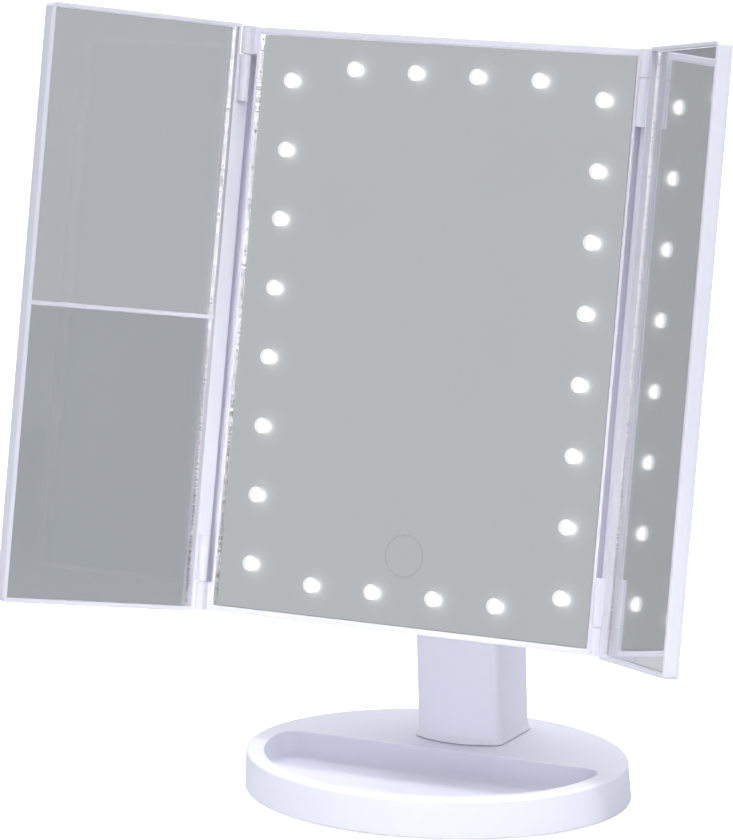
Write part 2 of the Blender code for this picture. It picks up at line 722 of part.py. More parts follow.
def rounded_rect(half_w, low, high, corner, steps=6):
    """A rectangle with round corners in x and z, centred on x."""
    points = []
    for cx, cz, turn in ((half_w - corner, high - corner, 0), (corner - half_w, high - corner, 1),
                         (corner - half_w, low + corner, 2), (half_w - corner, low + corner, 3)):
        start = math.pi / 2 * turn
        points += arc((cx, cz), corner, start, start + math.pi / 2, steps)
    return points


def rect_ring(half_w, low, high, corner, y):
    return [(x, y, z) for x, z in rounded_rect(half_w, low, high, corner)]


def screw_places():
    x = GLASS_HALF_W - PILLAR_IN
    return [(side * x, z) for z in (PILLAR_UP, PANEL_H - PILLAR_UP) for side in (-1, 1)]


def hinge_places():
    """The z spans of the barrels and of the knuckles, at the bottom and at the top."""
    joint = BARREL_H + GAP
    low = ((0, BARREL_H), (joint, joint + KNUCKLE_H))
    high = tuple((PANEL_H - b, PANEL_H - a) for a, b in low)
    return low, high


def bezel_ring(inset, y):
    corner = max(PANEL_CORNER - inset, FRONT_ROUND)
    return rect_ring(HALF_W - inset, inset, PANEL_H - inset, corner, y)


def make_bezel(panel):
    rings = [bezel_ring(FRONT_ROUND, FRONT_Y), bezel_ring(FRONT_ROUND * 0.3, FRONT_Y + FRONT_ROUND * 0.3),
             bezel_ring(0, FRONT_Y + FRONT_ROUND), bezel_ring(0, BEZEL_BACK_Y)]
    bezel = panel_piece("front_bezel", loft(rings), white_plastic(), panel)
    seat = block((-GLASS_HALF_W, GLASS_HALF_W), (-FAR, LEDGE_Y), (RIM_LOW, GLASS_TOP_Z))
    inner_x = GLASS_HALF_W - LEDGE_W
    window = block((-inner_x, inner_x), (-FAR, FAR), (RIM_LOW + LEDGE_W, GLASS_TOP_Z - LEDGE_W))
    behind = block((-GLASS_HALF_W, GLASS_HALF_W), (LEDGE_BACK_Y, FAR), (RIM_LOW, GLASS_TOP_Z))
    cut(bezel, seat)
    cut(bezel, window)
    cut(bezel, behind)
    for side in (-1, 1):
        x = sorted((side * LIP_X, side * (HALF_W + MM)))
        cut(bezel, block(x, (-FAR, REBATE_Y), (BARREL_H, PANEL_H - BARREL_H)))
    barrels = []
    pin_holes = []
    depth = PIN_IN_BARREL + PIN_HOLE_END
    for (barrel, _), end in zip(hinge_places(), ("low", "high")):
        hole = (barrel[1] - depth, barrel[1] + MM) if end == "low" else (barrel[0] - MM, barrel[0] + depth)
        for side in (-1, 1):
            barrels.append(barrel_solid(side, barrel, end))
            pin_holes.append(rod(PIN_R + SLIP, *hole, 2, (side * HINGE_X, HINGE_Y, 0), 20))
    add(bezel, *barrels)
    cut(bezel, merge(*pin_holes))
    root = LEDGE_BACK_Y - LEDGE_T / 2
    pillars = [rod(PILLAR_R, root, BACK_FACE_Y - GAP, 1, (x, 0, z), 20) for x, z in screw_places()]
    add(bezel, *pillars)
    start = BACK_FACE_Y - PILLAR_PILOT
    pilots = [rod(SCREW_R + SLIP, start, FAR, 1, (x, 0, z), 16) for x, z in screw_places()]
    cut(bezel, merge(*pilots))


def barrel_solid(side, span, end):
    """A hinge barrel on a short web that stands on the bezel's front corner."""
    x = side * HINGE_X
    outline = arc((0, 0), BARREL_R, math.pi, 2 * math.pi, 14)
    root = FRONT_Y + BARREL_WEB - HINGE_Y
    outline += [(BARREL_R, root), (-BARREL_R, root)]
    outline = [(x + a, HINGE_Y + b) for a, b in outline]
    bm = prism(outline, *span)
    outer = span[0] if end == "low" else span[1]
    rim = [e for e in bm.edges if all(abs(v.co.z - outer) < 1e-6 and v.co.y < FRONT_Y + MM for v in e.verts)]
    round_edges(bm, rim, 0.8 * MM, 3)
    return bm


def panel_piece(name, bm, look, panel):
    obj = piece(name, bm, look, panel)
    obj.location = -PIVOT_LOCAL
    return obj


def ear_solid(side):
    """One ear: a plate that narrows from the panel's back to a round end at the pivot."""
    pivot_y, pivot_z = PIVOT_LOCAL.y, PIVOT_LOCAL.z
    root_y = PANEL_BACK_Y - PANEL_WALL / 2
    outline = [(root_y, pivot_z - EAR_ROOT_HALF)]
    outline += arc((pivot_y, pivot_z), EAR_R, math.radians(-62), math.radians(62), 16)
    outline += [(root_y, pivot_z + EAR_ROOT_HALF)]
    low, high = sorted((side * EAR_X, side * (EAR_X + EAR_T)))
    return prism(outline, low, high, 0)


def make_rear_cover(panel):
    rings = [rect_ring(HALF_W, 0, PANEL_H, PANEL_CORNER, COVER_FRONT_Y)]
    for i in range(6):
        angle = math.pi / 2 * i / 5
        inset = BACK_ROUND * (1 - math.cos(angle))
        y = PANEL_BACK_Y - BACK_ROUND * (1 - math.sin(angle))
        rings.append(rect_ring(HALF_W - inset, inset, PANEL_H - inset, PANEL_CORNER + inset * 0.5, y))
    cover = panel_piece("rear_cover", loft(rings), white_plastic(), panel)

    hump_rings = [hump_ring(HUMP_FLARE, BACK_FACE_Y + PANEL_WALL / 2)]
    for i in range(5):
        angle = math.pi / 2 * i / 4
        y = HUMP_BACK_Y - HUMP_ROUND * (1 - math.sin(angle))
        hump_rings.append(hump_ring(-HUMP_ROUND * (1 - math.cos(angle)), y))
    add(cover, loft(hump_rings))

    hollow = [cover_room(PANEL_WALL, COVER_FRONT_Y - MM),
              cover_room(PANEL_WALL, BACK_FACE_Y - BACK_ROUND / 2),
              cover_room(PANEL_WALL * 1.6, BACK_FACE_Y)]
    cut(cover, loft(hollow))
    inner = HUMP_HALF_W - HUMP_WALL
    hump_room = block((-inner, inner), (COVER_FRONT_Y, HUMP_BACK_Y - DOOR_T - HUMP_WALL + GAP),
                      (HUMP_LOW_Z + HUMP_WALL, HUMP_HIGH_Z - HUMP_WALL))
    cut(cover, hump_room)
    bay_room = GAP * 2
    bay = block((-BAY_HALF_W - bay_room, BAY_HALF_W + bay_room), (COVER_FRONT_Y, FAR),
                (BAY_LOW_Z - bay_room, BAY_HIGH_Z + bay_room))
    cut(cover, bay)
    cut(cover, door_prism(GAP, DOOR_LOW_Z - GAP, HUMP_HIGH_Z + HUMP_ROUND * 2, MM))

    for side in (-1, 1):
        add(cover, ear_solid(side))
    at = tuple(PIVOT_LOCAL)
    cut(cover, rod(BOLT_R + BOLT_ROOM, -FAR, FAR, 0, at))

    seat = PANEL_BACK_Y - SCREW_SUNK
    holes = [screw_hole(1, (x, 0, z), BACK_FACE_Y - MM, seat, PANEL_BACK_Y + MM) for x, z in screw_places()]
    cut(cover, merge(*holes))
    usb_y = usb_centre_y()
    usb = block((USB_X - USB_HALF_W - GAP, USB_X + USB_HALF_W + GAP),
                (usb_y - USB_HALF_H - GAP, usb_y + USB_HALF_H + GAP), (-MM, PANEL_WALL * 2))
    round_edges(usb, edges_along(usb, 2), 1.2 * MM, 4)
    cut(cover, usb)
    slot_half = (SWITCH_KNOB_W + SWITCH_TRAVEL) / 2 + GAP
    slot_x = SWITCH_X + SWITCH_TRAVEL / 2
    slot = block((slot_x - slot_half, slot_x + slot_half), (BACK_FACE_Y - MM, FAR),
                 (SWITCH_Z - SWITCH_KNOB_H / 2 - GAP, SWITCH_Z + SWITCH_KNOB_H / 2 + GAP))
    cut(cover, slot)
    dish_half = slot_half + 2.5 * MM
    dish = block((slot_x - dish_half, slot_x + dish_half), (PANEL_BACK_Y - SWITCH_DISH, FAR),
                 (SWITCH_Z - SWITCH_KNOB_H, SWITCH_Z + SWITCH_KNOB_H))
    round_edges(dish, edges_along(dish, 1), 2.0 * MM, 4)
    cut(cover, dish)


def usb_centre_y():
    return (COVER_FRONT_Y + BACK_FACE_Y) / 2 + 0.2 * MM


def hump_ring(grow, y):
    """The hump's outline, moved outwards, at one depth."""
    corner = HUMP_ROUND * 1.6
    return rect_ring(HUMP_HALF_W + grow, HUMP_LOW_Z - grow, HUMP_HIGH_Z + grow, corner, y)


def cover_room(inset, y):
    return rect_ring(HALF_W - inset, inset, PANEL_H - inset, PANEL_CORNER, y)


def door_prism(room, low, high, proud=0.0):
    """The door's dovetail bar between two heights; the groove for it has room and stands proud."""
    outer_y = HUMP_BACK_Y + proud
    inner_y = HUMP_BACK_Y - DOOR_T - room
    wide = DOOR_HALF_W + room
    narrow = wide - DOOR_BEVEL / DOOR_T * (outer_y - inner_y)
    outline = [(-wide, inner_y), (wide, inner_y), (narrow, outer_y), (-narrow, outer_y)]
    return prism(outline, low, high)


def make_panel_glass(panel):
    room = GLASS_ROOM
    glass = block((-GLASS_HALF_W + room, GLASS_HALF_W - room), (GLASS_FRONT_Y, GLASS_BACK_Y),
                  (RIM_LOW + room, GLASS_TOP_Z - room))
    panel_piece("centre_mirror", glass, silvered_glass(), panel)
    copper = material("copper", (0.72, 0.42, 0.28), 0.4, 1.0)
    pad = rod(TOUCH_R, LEDGE_Y, LEDGE_Y + TOUCH_T, 1, (0, 0, TOUCH_Z), 32)
    panel_piece("touch_sensor_pad", pad, copper, panel)


def make_lamps(panel):
    board = material("led_board", (0.85, 0.86, 0.84), 0.5)
    lamp_front = LEDGE_Y
    strip_front = lamp_front + LAMP_T
    strip_back = strip_front + STRIP_T
    pitch = (LAMP_HIGH_Z - LAMP_LOW_Z) / (LAMP_COUNT_SIDE - 1)
    heights = [LAMP_LOW_Z + pitch * i for i in range(LAMP_COUNT_SIDE)]
    half = LAMP_W / 2
    for side, word in ((-1, "left"), (1, "right")):
        x = side * LAMP_X
        bar = block((x - STRIP_W / 2, x + STRIP_W / 2), (strip_front, strip_back),
                    (LAMP_LOW_Z - STRIP_END, LAMP_HIGH_Z + STRIP_END))
        strip = panel_piece(f"led_strip_{word}", bar, board, panel)
        for z in heights:
            lamp = block((x - half, x + half), (lamp_front, strip_front + STRIP_T / 2), (z - half, z + half))
            add(strip, lamp)
    last = LAMP_X - LAMP_ROW_IN
    places = [last * (2 * i / (LAMP_COUNT_ROW - 1) - 1) for i in range(LAMP_COUNT_ROW)]
    end = last + STRIP_END_ROW
    rows = (("bottom", LAMP_LOW_Z - LAMP_ROW_OUT), ("top", LAMP_HIGH_Z + LAMP_ROW_OUT))
    for word, z in rows:
        bar = block((-end, end), (strip_front, strip_back), (z - STRIP_W / 2, z + STRIP_W / 2))
        strip = panel_piece(f"led_strip_{word}", bar, board, panel)
        for x in places:
            lamp = block((x - half, x + half), (lamp_front, strip_front + STRIP_T / 2), (z - half, z + half))
            add(strip, lamp)
    carrier_y = strip_back + GAP
    carrier_x = GLASS_HALF_W - LEDGE_W - GAP
    carrier = block((-carrier_x, carrier_x), (carrier_y, carrier_y + CARRIER_T),
                    (RIM_LOW + LEDGE_W + GAP, GLASS_TOP_Z - LEDGE_W - GAP))
    round_edges(carrier, edges_along(carrier, 1), CARRIER_CORNER, 4)
    panel_piece("led_carrier", carrier, white_plastic(), panel)


def make_electronics(panel):
    green = material("circuit_board", (0.02, 0.16, 0.07), 0.45)
    board_y = COVER_FRONT_Y + BOARD_LIFT
    body = block((-BOARD_HALF_W, BOARD_HALF_W), (board_y, board_y + BOARD_T), BOARD_Z)
    board = panel_piece("control_board", body, green, panel)
    chip = block((-5 * MM, 5 * MM), (board_y + BOARD_T / 2, board_y + BOARD_T + CHIP_T),
                 (BOARD_Z[0] + 8 * MM, BOARD_Z[0] + 15 * MM))
    add(board, chip)
    plug = block((14 * MM, 22 * MM), (board_y + BOARD_T / 2, board_y + BOARD_T + PLUG_T),
                 (BOARD_Z[0] + 3 * MM, BOARD_Z[0] + 8 * MM))
    add(board, plug)

    usb_y = usb_centre_y()
    lip = SLIP * 2
    shell = block((USB_X - USB_HALF_W, USB_X + USB_HALF_W), (usb_y - USB_HALF_H, usb_y + USB_HALF_H),
                  (lip, lip + USB_DEPTH))
    round_edges(shell, edges_along(shell, 2), USB_CORNER, 4)
    usb = panel_piece("usb_socket", shell, steel(), panel)
    half_w = USB_HALF_W - USB_SKIN
    half_h = USB_HALF_H - USB_SKIN
    mouth = block((USB_X - half_w, USB_X + half_w), (usb_y - half_h, usb_y + half_h),
                  (-MM, USB_DEPTH - USB_SKIN * 2))
    round_edges(mouth, edges_along(mouth, 2), USB_CORNER - USB_SKIN / 2, 4)
    cut(usb, mouth)

    middle = SWITCH_X + SWITCH_TRAVEL / 2
    half = SWITCH_TRAVEL + SWITCH_KNOB_W
    case_back = BACK_FACE_Y - GAP - MM
    case = block((middle - half, middle + half), (case_back - SWITCH_CASE_T, case_back),
                 (SWITCH_Z - SWITCH_KNOB_W, SWITCH_Z + SWITCH_KNOB_W))
    panel_piece("power_switch_case", case, black_plastic(), panel)
    knob = block((SWITCH_X - SWITCH_KNOB_W / 2, SWITCH_X + SWITCH_KNOB_W / 2),
                 (case_back + GAP, PANEL_BACK_Y + SWITCH_PROUD),
                 (SWITCH_Z - SWITCH_KNOB_H / 2, SWITCH_Z + SWITCH_KNOB_H / 2))
    round_edges(knob, edges_along(knob, 2, lambda p: p.y > PANEL_BACK_Y), 0.4 * MM, 3)
    panel_piece("power_switch_slider", knob, black_plastic(), panel)


def make_battery(panel):
    middle_z = (BAY_LOW_Z + BAY_HIGH_Z) / 2
    inner_y = HOLDER_FLOOR_Y + HOLDER_WALL
    inner_low = BAY_LOW_Z + HOLDER_WALL
    inner_high = BAY_HIGH_Z - HOLDER_WALL
    box = block((-BAY_HALF_W, BAY_HALF_W), (HOLDER_FLOOR_Y, HOLDER_RIM_Y), (BAY_LOW_Z, BAY_HIGH_Z))
    holder = panel_piece("battery_holder", box, black_plastic(), panel)
    inner_x = BAY_HALF_W - HOLDER_WALL
    cut(holder, block((-inner_x, inner_x), (inner_y, FAR), (inner_low, inner_high)))

    jacket = material("cell_jacket", (0.05, 0.12, 0.35), 0.3)
    first = middle_z - CELL_PITCH * (CELL_COUNT - 1) / 2
    half = CELL_L / 2
    can = half - CELL_NOSE_L
    for i in range(CELL_COUNT):
        at = (0, CELL_Y, first + CELL_PITCH * i)
        nose_side = 1 if i % 2 else -1
        ends = sorted((-nose_side * half, nose_side * can))
        cell = panel_piece(f"battery_cell_{i + 1}", rod(CELL_R, *ends, 0, at), jacket, panel)
        nose = sorted((nose_side * (can - CELL_NOSE_L), nose_side * half))
        add(cell, rod(CELL_NOSE_R, *nose, 0, at, 20))

    near = half + GAP + CONTACT_STEP
    wall = inner_x - GAP
    for side, word in ((-1, "left"), (1, "right")):
        plate = block(sorted((side * near, side * wall)), (inner_y + GAP, CELL_Y + CELL_R / 2),
                      (inner_low + GAP, inner_high - GAP))
        panel_piece(f"battery_contact_{word}", plate, steel(), panel)

    door = panel_piece("battery_door", door_prism(0, DOOR_LOW_Z, HUMP_HIGH_Z), white_plastic(), panel)
    top_ridge = HUMP_HIGH_Z - RIDGE_HALF_W
    ridges = []
    for i in range(RIDGE_COUNT):
        z = top_ridge - i * RIDGE_PITCH
        span = (z - RIDGE_PITCH / 4, z + RIDGE_PITCH / 4)
        ridges.append(block((-RIDGE_HALF_W, RIDGE_HALF_W), (HUMP_BACK_Y - RIDGE_PITCH / 4, FAR), span))
    cut(door, merge(*ridges))


def make_panel_screws(panel):
    for i, (x, z) in enumerate(screw_places(), 1):
        face = PANEL_BACK_Y - SCREW_SUNK + GAP + SCREW_HEAD_H
        screw(f"cover_screw_{i}", (x, face, z), 1, -1, COVER_SCREW_L, panel)


# ---------------------------------------------------------------- wings

def wing_block(side, x, y, z):
    """A box in the wing's frame; x counts outwards from the hinge on either side."""
    return block(sorted((side * x[0], side * x[1])), y, z)


def heel_outline(side):
    """Section of the wing's hinge edge: a thick bar with a round back corner, then a step for the cover."""
    outline = arc((-WING_HEEL + WING_SOFT, WING_FRONT + WING_SOFT), WING_SOFT, -math.pi / 2, -math.pi, 4)
    outline += arc((0, WING_BACK - WING_HEEL), WING_HEEL, math.pi, math.pi / 2, 10)
    outline += [(WING_STEP, WING_BACK), (WING_STEP, WING_GLASS_BACK), (WING_HINGE_RIM, WING_GLASS_BACK)]
    outline += [(WING_HINGE_RIM, WING_FRONT)]
    return [(side * x, y) for x, y in outline]


def round_wing_board(bm, side, near_x, face_y):
    """Round a wing board's outer corners, and then the edges of one face, but not its hinge-side edge."""
    far = side * WING_W
    round_edges(bm, edges_along(bm, 1, lambda p: abs(p.x - far) < SLIP), WING_CORNER, 5)
    rim = [e for e in bm.edges if all(abs(v.co.y - face_y) < SLIP for v in e.verts)
           and not all(abs(v.co.x - side * near_x) < SLIP for v in e.verts)]
    round_edges(bm, rim, WING_SOFT, 2)


def wing_panes(divided):
    """The z spans of the wing's panes: one, or two with the divider between them."""
    low, high = WING_RIM, PANEL_H - WING_RIM
    if not divided:
        return [(low, high)]
    middle = PANEL_H / 2
    return [(low, middle - DIVIDER_W / 2), (middle + DIVIDER_W / 2, high)]


def make_wing_frame(side, word, hinge, panes):
    inner, outer = WING_HINGE_RIM, WING_W - WING_RIM
    root = WING_HINGE_RIM - MM
    board = wing_block(side, (root, WING_W), (WING_FRONT, WING_GLASS_BACK), (0, PANEL_H))
    round_wing_board(board, side, root, WING_FRONT)
    frame = piece(f"{word}_wing_frame", board, white_plastic(), hinge)
    low_end = BARREL_H + GAP
    add(frame, prism(heel_outline(side), low_end, PANEL_H - low_end))
    near = BARREL_R + SHOULDER_ROOM
    shoulder = wing_block(side, (near, inner + MM), (WING_FRONT, WING_GLASS_BACK), (0, PANEL_H))
    corners = edges_along(shoulder, 1, lambda p: abs(p.x - side * near) < SLIP)
    round_edges(shoulder, corners, SHOULDER_ROUND, 4)
    add(frame, shoulder)
    cut(frame, merge(*[wing_block(side, (inner, outer), (0, FAR), span) for span in panes]))
    if len(panes) > 1:
        bar = (panes[0][1] - GAP, panes[1][0] + GAP)
        cut(frame, wing_block(side, (inner, outer), (0, WING_GLASS_FRONT - DIVIDER_T + MM), bar))
    for _, span in hinge_places():
        add(frame, knuckle(span))
    for hole in pin_hole_places():
        cut(frame, rod(PIN_R + SLIP, *hole, 2, (0, 0, 0), 20))


def make_wing_back(side, word, hinge):
    near = WING_STEP + GAP
    board = wing_block(side, (near, WING_W), (WING_GLASS_BACK + GAP, WING_BACK), (0, PANEL_H))
    round_wing_board(board, side, near, WING_BACK)
    back = piece(f"{word}_wing_back", board, white_plastic(), hinge)
    low_end = BARREL_H + GAP
    clear = (-MM, BARREL_R + SHOULDER_ROOM)
    ends = ((-MM, low_end), (PANEL_H - low_end, PANEL_H + MM))
    cut(back, merge(*[wing_block(side, clear, (0, FAR), span) for span in ends]))


def make_wing(side, word, hinge, divided):
    panes = wing_panes(divided)
    make_wing_frame(side, word, hinge, panes)
    make_wing_back(side, word, hinge)
    names = ("magnifier_lower", "magnifier_upper") if divided else (f"{word}_wing_mirror",)
    across = (WING_HINGE_RIM + GLASS_ROOM, WING_W - WING_RIM - GLASS_ROOM)
    for name, (low, high) in zip(names, panes):
        height = (low + GLASS_ROOM, high - GLASS_ROOM)
        pane = wing_block(side, across, (WING_GLASS_FRONT, WING_GLASS_BACK), height)
        piece(name, pane, silvered_glass(), hinge)


def pin_hole_places():
    """The z spans of the holes in the wing's lower and upper knuckle, blind at their far ends."""
    (_, low), (_, high) = hinge_places()
    blind = PIN_END - PIN_HOLE_END
    return (low[0] - MM, low[1] - blind), (high[0] + blind, high[1] + MM)


def knuckle(span):
    return rod(BARREL_R, *span, 2, (0, 0, 0), 28)


def make_pins(panel):
    for side, word in ((-1, "left"), (1, "right")):
        for (barrel, span), end in zip(hinge_places(), ("lower", "upper")):
            if end == "lower":
                low, high = barrel[1] - PIN_IN_BARREL, span[1] - PIN_END
            else:
                low, high = span[0] + PIN_END, barrel[0] + PIN_IN_BARREL
            pin = rod(PIN_R, low, high, 2, (side * HINGE_X, HINGE_Y, 0), 20)
            panel_piece(f"{word}_hinge_pin_{end}", pin, steel(), panel)


def frame_empty(name, parent, location, turn=(0, 0, 0)):
    empty = bpy.data.objects.new(name, None)
    bpy.context.scene.collection.objects.link(empty)
    empty.parent = parent
    empty.location = location
    empty.rotation_euler = turn
    return empty


def main():
    clear_scene()
    make_base()
    make_post()
    make_post_clamps()
    make_pivot()
    panel = frame_empty("panel_tilt_axis", None, (0, PIVOT_Y, PIVOT_Z), (-LEAN, 0, 0))
    make_bezel(panel)
    make_rear_cover(panel)
    make_panel_glass(panel)
    make_lamps(panel)
    make_electronics(panel)
    make_battery(panel)
    make_panel_screws(panel)
    make_pins(panel)
    wings = ((-1, "left", WING_REST_LEFT, True), (1, "right", WING_REST_RIGHT, False))
    for side, word, rest, divided in wings:
        at = Vector((side * HINGE_X, HINGE_Y, 0)) - PIVOT_LOCAL
        hinge = frame_empty(f"{word}_wing_axis", panel, at, (0, 0, -side * rest))
        make_wing(side, word, hinge, divided)


main()
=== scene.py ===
# %% [markdown]
# # A folding make-up mirror with lamps
# This lesson dresses a finished construction model in its real surfaces. The model comes first,
# because every new piece takes its size and place from it.

import json
import math

import bmesh
import bpy
from mathutils import Matrix, Vector


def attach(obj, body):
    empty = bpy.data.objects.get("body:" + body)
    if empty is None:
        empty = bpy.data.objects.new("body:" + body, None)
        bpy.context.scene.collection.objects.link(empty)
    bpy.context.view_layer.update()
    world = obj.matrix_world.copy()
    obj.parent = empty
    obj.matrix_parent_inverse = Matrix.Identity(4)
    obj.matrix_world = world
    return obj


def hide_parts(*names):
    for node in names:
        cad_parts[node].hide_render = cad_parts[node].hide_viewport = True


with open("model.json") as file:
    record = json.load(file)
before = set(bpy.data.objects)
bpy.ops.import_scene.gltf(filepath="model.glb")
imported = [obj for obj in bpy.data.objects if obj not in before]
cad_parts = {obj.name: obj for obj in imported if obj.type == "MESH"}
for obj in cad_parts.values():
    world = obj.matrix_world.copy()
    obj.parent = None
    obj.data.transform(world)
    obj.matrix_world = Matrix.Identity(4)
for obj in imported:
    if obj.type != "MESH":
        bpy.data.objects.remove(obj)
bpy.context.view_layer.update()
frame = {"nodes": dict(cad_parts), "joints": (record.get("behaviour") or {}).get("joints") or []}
MM = 0.001
print("construction nodes:", len(frame["nodes"]))

# %% [markdown]
# ## Three places to work in
# The glass panel leans back, and each wing is swung forward on its hinge. It would be hard to model
# on a slant, so each piece is drawn upright in its own place and moved once at the end. The joints
# hold everything needed: their axes give the lean, and their ranges say how far each wing is open.
# In a place, x runs across, y to the back and z up along the hinge, with zero on the hinge's line.

# %% Work out the panel's and the wings' places
joints = {joint["name"]: joint for joint in frame["joints"]}
up = Vector(joints["left_wing_hinge"]["axis"]).normalized()
across = Vector((1, 0, 0))
back = up.cross(across)
turn = Matrix((across, back, up)).transposed().to_4x4()
hinge = {side: Vector(joints[f"{side}_wing_hinge"]["pos_m"]) for side in ("left", "right")}
PANEL = Matrix.Translation((hinge["left"] + hinge["right"]) / 2) @ turn
SIGN = {"left": -1, "right": 1}


def wing_place(side):
    """The wing's own place: the panel's, turned by how far the wing is swung forward."""
    swung = -math.radians(joints[f"{side}_wing_hinge"]["range_deg"][0])
    return Matrix.Translation(hinge[side]) @ turn @ Matrix.Rotation(-SIGN[side] * swung, 4, "Z")


def reach(node, place):
    """The lowest and highest corner of a construction node, as its place sees them."""
    inward = place.inverted()
    spots = [inward @ vert.co for vert in frame["nodes"][node].data.vertices]
    low = Vector(min(spot[i] for spot in spots) for i in range(3))
    high = Vector(max(spot[i] for spot in spots) for i in range(3))
    return low, high


WING = {side: wing_place(side) for side in SIGN}
bezel_low, bezel_high = reach("front_bezel", PANEL)
print("panel height", round((bezel_high.z - bezel_low.z) / MM, 1), "mm")

# %% [markdown]
# ## Finishes
# Every finish is a Principled shader whose colour, roughness and small bumps come from noise in
# Object coordinates. The pieces sit at the origin, so those are plain metres, and a grain of half a
# millimetre has a scale of about 2000. A small builder keeps each recipe short.

# %% A small builder for node materials
def recipe(name):
    """A new material with its nodes, its shader and the place coordinates."""
    made = bpy.data.materials.new(name)
    made.use_nodes = True
    nodes = made.node_tree.nodes
    shader = nodes["Principled BSDF"]
    spot = nodes.new("ShaderNodeTexCoord").outputs["Object"]
    return made, nodes, made.node_tree.links, shader, spot


def noise(nodes, links, spot, scale, detail=3.0, stretch=None):
    """Cloudy noise from 0 to 1; stretch squeezes it along each axis."""
    texture = nodes.new("ShaderNodeTexNoise")
    texture.inputs["Scale"].default_value = scale
    texture.inputs["Detail"].default_value = detail
    if stretch:
        mapping = nodes.new("ShaderNodeMapping")
        mapping.inputs["Scale"].default_value = stretch
        links.new(spot, mapping.inputs["Vector"])
        spot = mapping.outputs["Vector"]
    links.new(spot, texture.inputs["Vector"])
    return texture.outputs["Fac"]


def blend(nodes, links, share, low, high):
    """Run from one value to another as share goes from 0 to 1."""
    run = nodes.new("ShaderNodeMapRange")
    run.inputs["To Min"].default_value = low
    run.inputs["To Max"].default_value = high
    links.new(share, run.inputs["Value"])
    return run.outputs["Result"]


def tint(nodes, links, share, low, high):
    """Run from one colour to another as share goes from 0 to 1."""
    mix = nodes.new("ShaderNodeMix")
    mix.data_type = "RGBA"
    mix.inputs[6].default_value = (*low, 1)
    mix.inputs[7].default_value = (*high, 1)
    links.new(share, mix.inputs[0])
    return mix.outputs[2]


def bumps(nodes, links, height, depth, shader, under=None):
    """Raise the surface by a height map, on top of earlier bumps if there are any."""
    bump = nodes.new("ShaderNodeBump")
    bump.inputs["Strength"].default_value = 1.0
    bump.inputs["Distance"].default_value = depth
    links.new(height, bump.inputs["Height"])
    if under:
        links.new(under, bump.inputs["Normal"])
    links.new(bump.outputs["Normal"], shader.inputs["Normal"])
    return bump.outputs["Normal"]


def sums(nodes, links, operation, first, second=0.0, third=None):
    """One Math node; each input is a socket or a number."""
    node = nodes.new("ShaderNodeMath")
    node.operation = operation
    for i, value in enumerate((first, second, third)):
        if value is None:
            continue
        if isinstance(value, (int, float)):
            node.inputs[i].default_value = value
        else:
            links.new(value, node.inputs[i])
    return node.outputs[0]


print("material builder ready")

# %% [markdown]
# ## Satin white plastic
# The mouldings are white with a breath of lavender. A polished tool leaves a satin skin: a very fine
# grain, a faint waviness where the plastic shrank over its ribs, and clouds of slightly more or
# less gloss. Each shows only in the highlights, so each is weak.

# %% Mix the moulded plastics
def moulded(name, light, dark, gloss, grain=1.0):
    made, nodes, links, shader, spot = recipe(name)
    clouds = noise(nodes, links, spot, 35.0, 4.0)
    links.new(tint(nodes, links, clouds, dark, light), shader.inputs["Base Color"])
    patches = noise(nodes, links, spot, 90.0, 5.0)
    links.new(blend(nodes, links, patches, gloss - 0.05, gloss + 0.06), shader.inputs["Roughness"])
    shrink = noise(nodes, links, spot, 55.0, 1.0)
    wavy = bumps(nodes, links, shrink, 0.00006 * grain, shader)
    skin = noise(nodes, links, spot, 1500.0, 3.0)
    bumps(nodes, links, skin, 0.000006 * grain, shader, wavy)
    shader.inputs["Coat Weight"].default_value = 0.12
    shader.inputs["Coat Roughness"].default_value = 0.12
    return made


WHITE = moulded("satin_white", (0.79, 0.79, 0.875), (0.765, 0.765, 0.855), 0.34)
BLACK = moulded("matt_black", (0.035, 0.035, 0.038), (0.02, 0.02, 0.022), 0.55, 3.0)
print("mixed", WHITE.name, BLACK.name)

# %% [markdown]
# ## Clear glass, its ground edge and the silver behind it
# A looking glass is clear, with silver on its back. Modelled as both, it shows by itself what a
# plain mirror never does: seen from one side, the far cut edge shows as a line through the glass
# and once more in the silver. The white glints along that line are painted glow in the ground
# edge's emission, fewer towards the bottom.

# %% Mix the glass and its edge
def clear_glass():
    made, nodes, links, shader, spot = recipe("clear_glass")
    shader.inputs["Transmission Weight"].default_value = 1.0
    shader.inputs["IOR"].default_value = 1.5
    shader.inputs["Roughness"].default_value = 0.0
    smears = noise(nodes, links, spot, 18.0, 4.0)
    colour = tint(nodes, links, smears, (0.975, 0.985, 0.98), (0.985, 0.99, 0.988))
    links.new(colour, shader.inputs["Base Color"])
    return made


def ground_edge(name, painted_glints):
    """A sand-ground edge: grey grain, with white glints painted as emission that grow rarer towards the
    bottom.
    """
    made, nodes, links, shader, spot = recipe(name)
    chips_and_glints = noise(nodes, links, spot, 2600.0, 2.0)
    links.new(tint(nodes, links, chips_and_glints, (0.2, 0.2, 0.21), (0.85, 0.85, 0.87)), shader.inputs["Base Color"])
    shader.inputs["Roughness"].default_value = 0.5
    bumps(nodes, links, chips_and_glints, 0.0002, shader)
    if not painted_glints:
        return made
    # painted glints: white emission in spots along the edge, though it is no lamp, fading towards the bottom
    split = nodes.new("ShaderNodeSeparateXYZ")
    links.new(spot, split.inputs[0])
    height = sums(nodes, links, "MULTIPLY_ADD", split.outputs["Z"], 7.0, -7.9)
    lift = sums(nodes, links, "MINIMUM", height, -6.5)
    strength = sums(nodes, links, "ADD", sums(nodes, links, "MULTIPLY", chips_and_glints, 14.0), lift)
    links.new(sums(nodes, links, "MAXIMUM", strength, 0.0), shader.inputs["Emission Strength"])
    shader.inputs["Emission Color"].default_value = (1, 1, 1, 1)
    return made


GLASS = clear_glass()
EDGE_WITH_PAINTED_GLINTS = ground_edge("ground_edge", True)
PLAIN_EDGE = ground_edge("plain_ground_edge", False)
print("mixed", GLASS.name, EDGE_WITH_PAINTED_GLINTS.name)

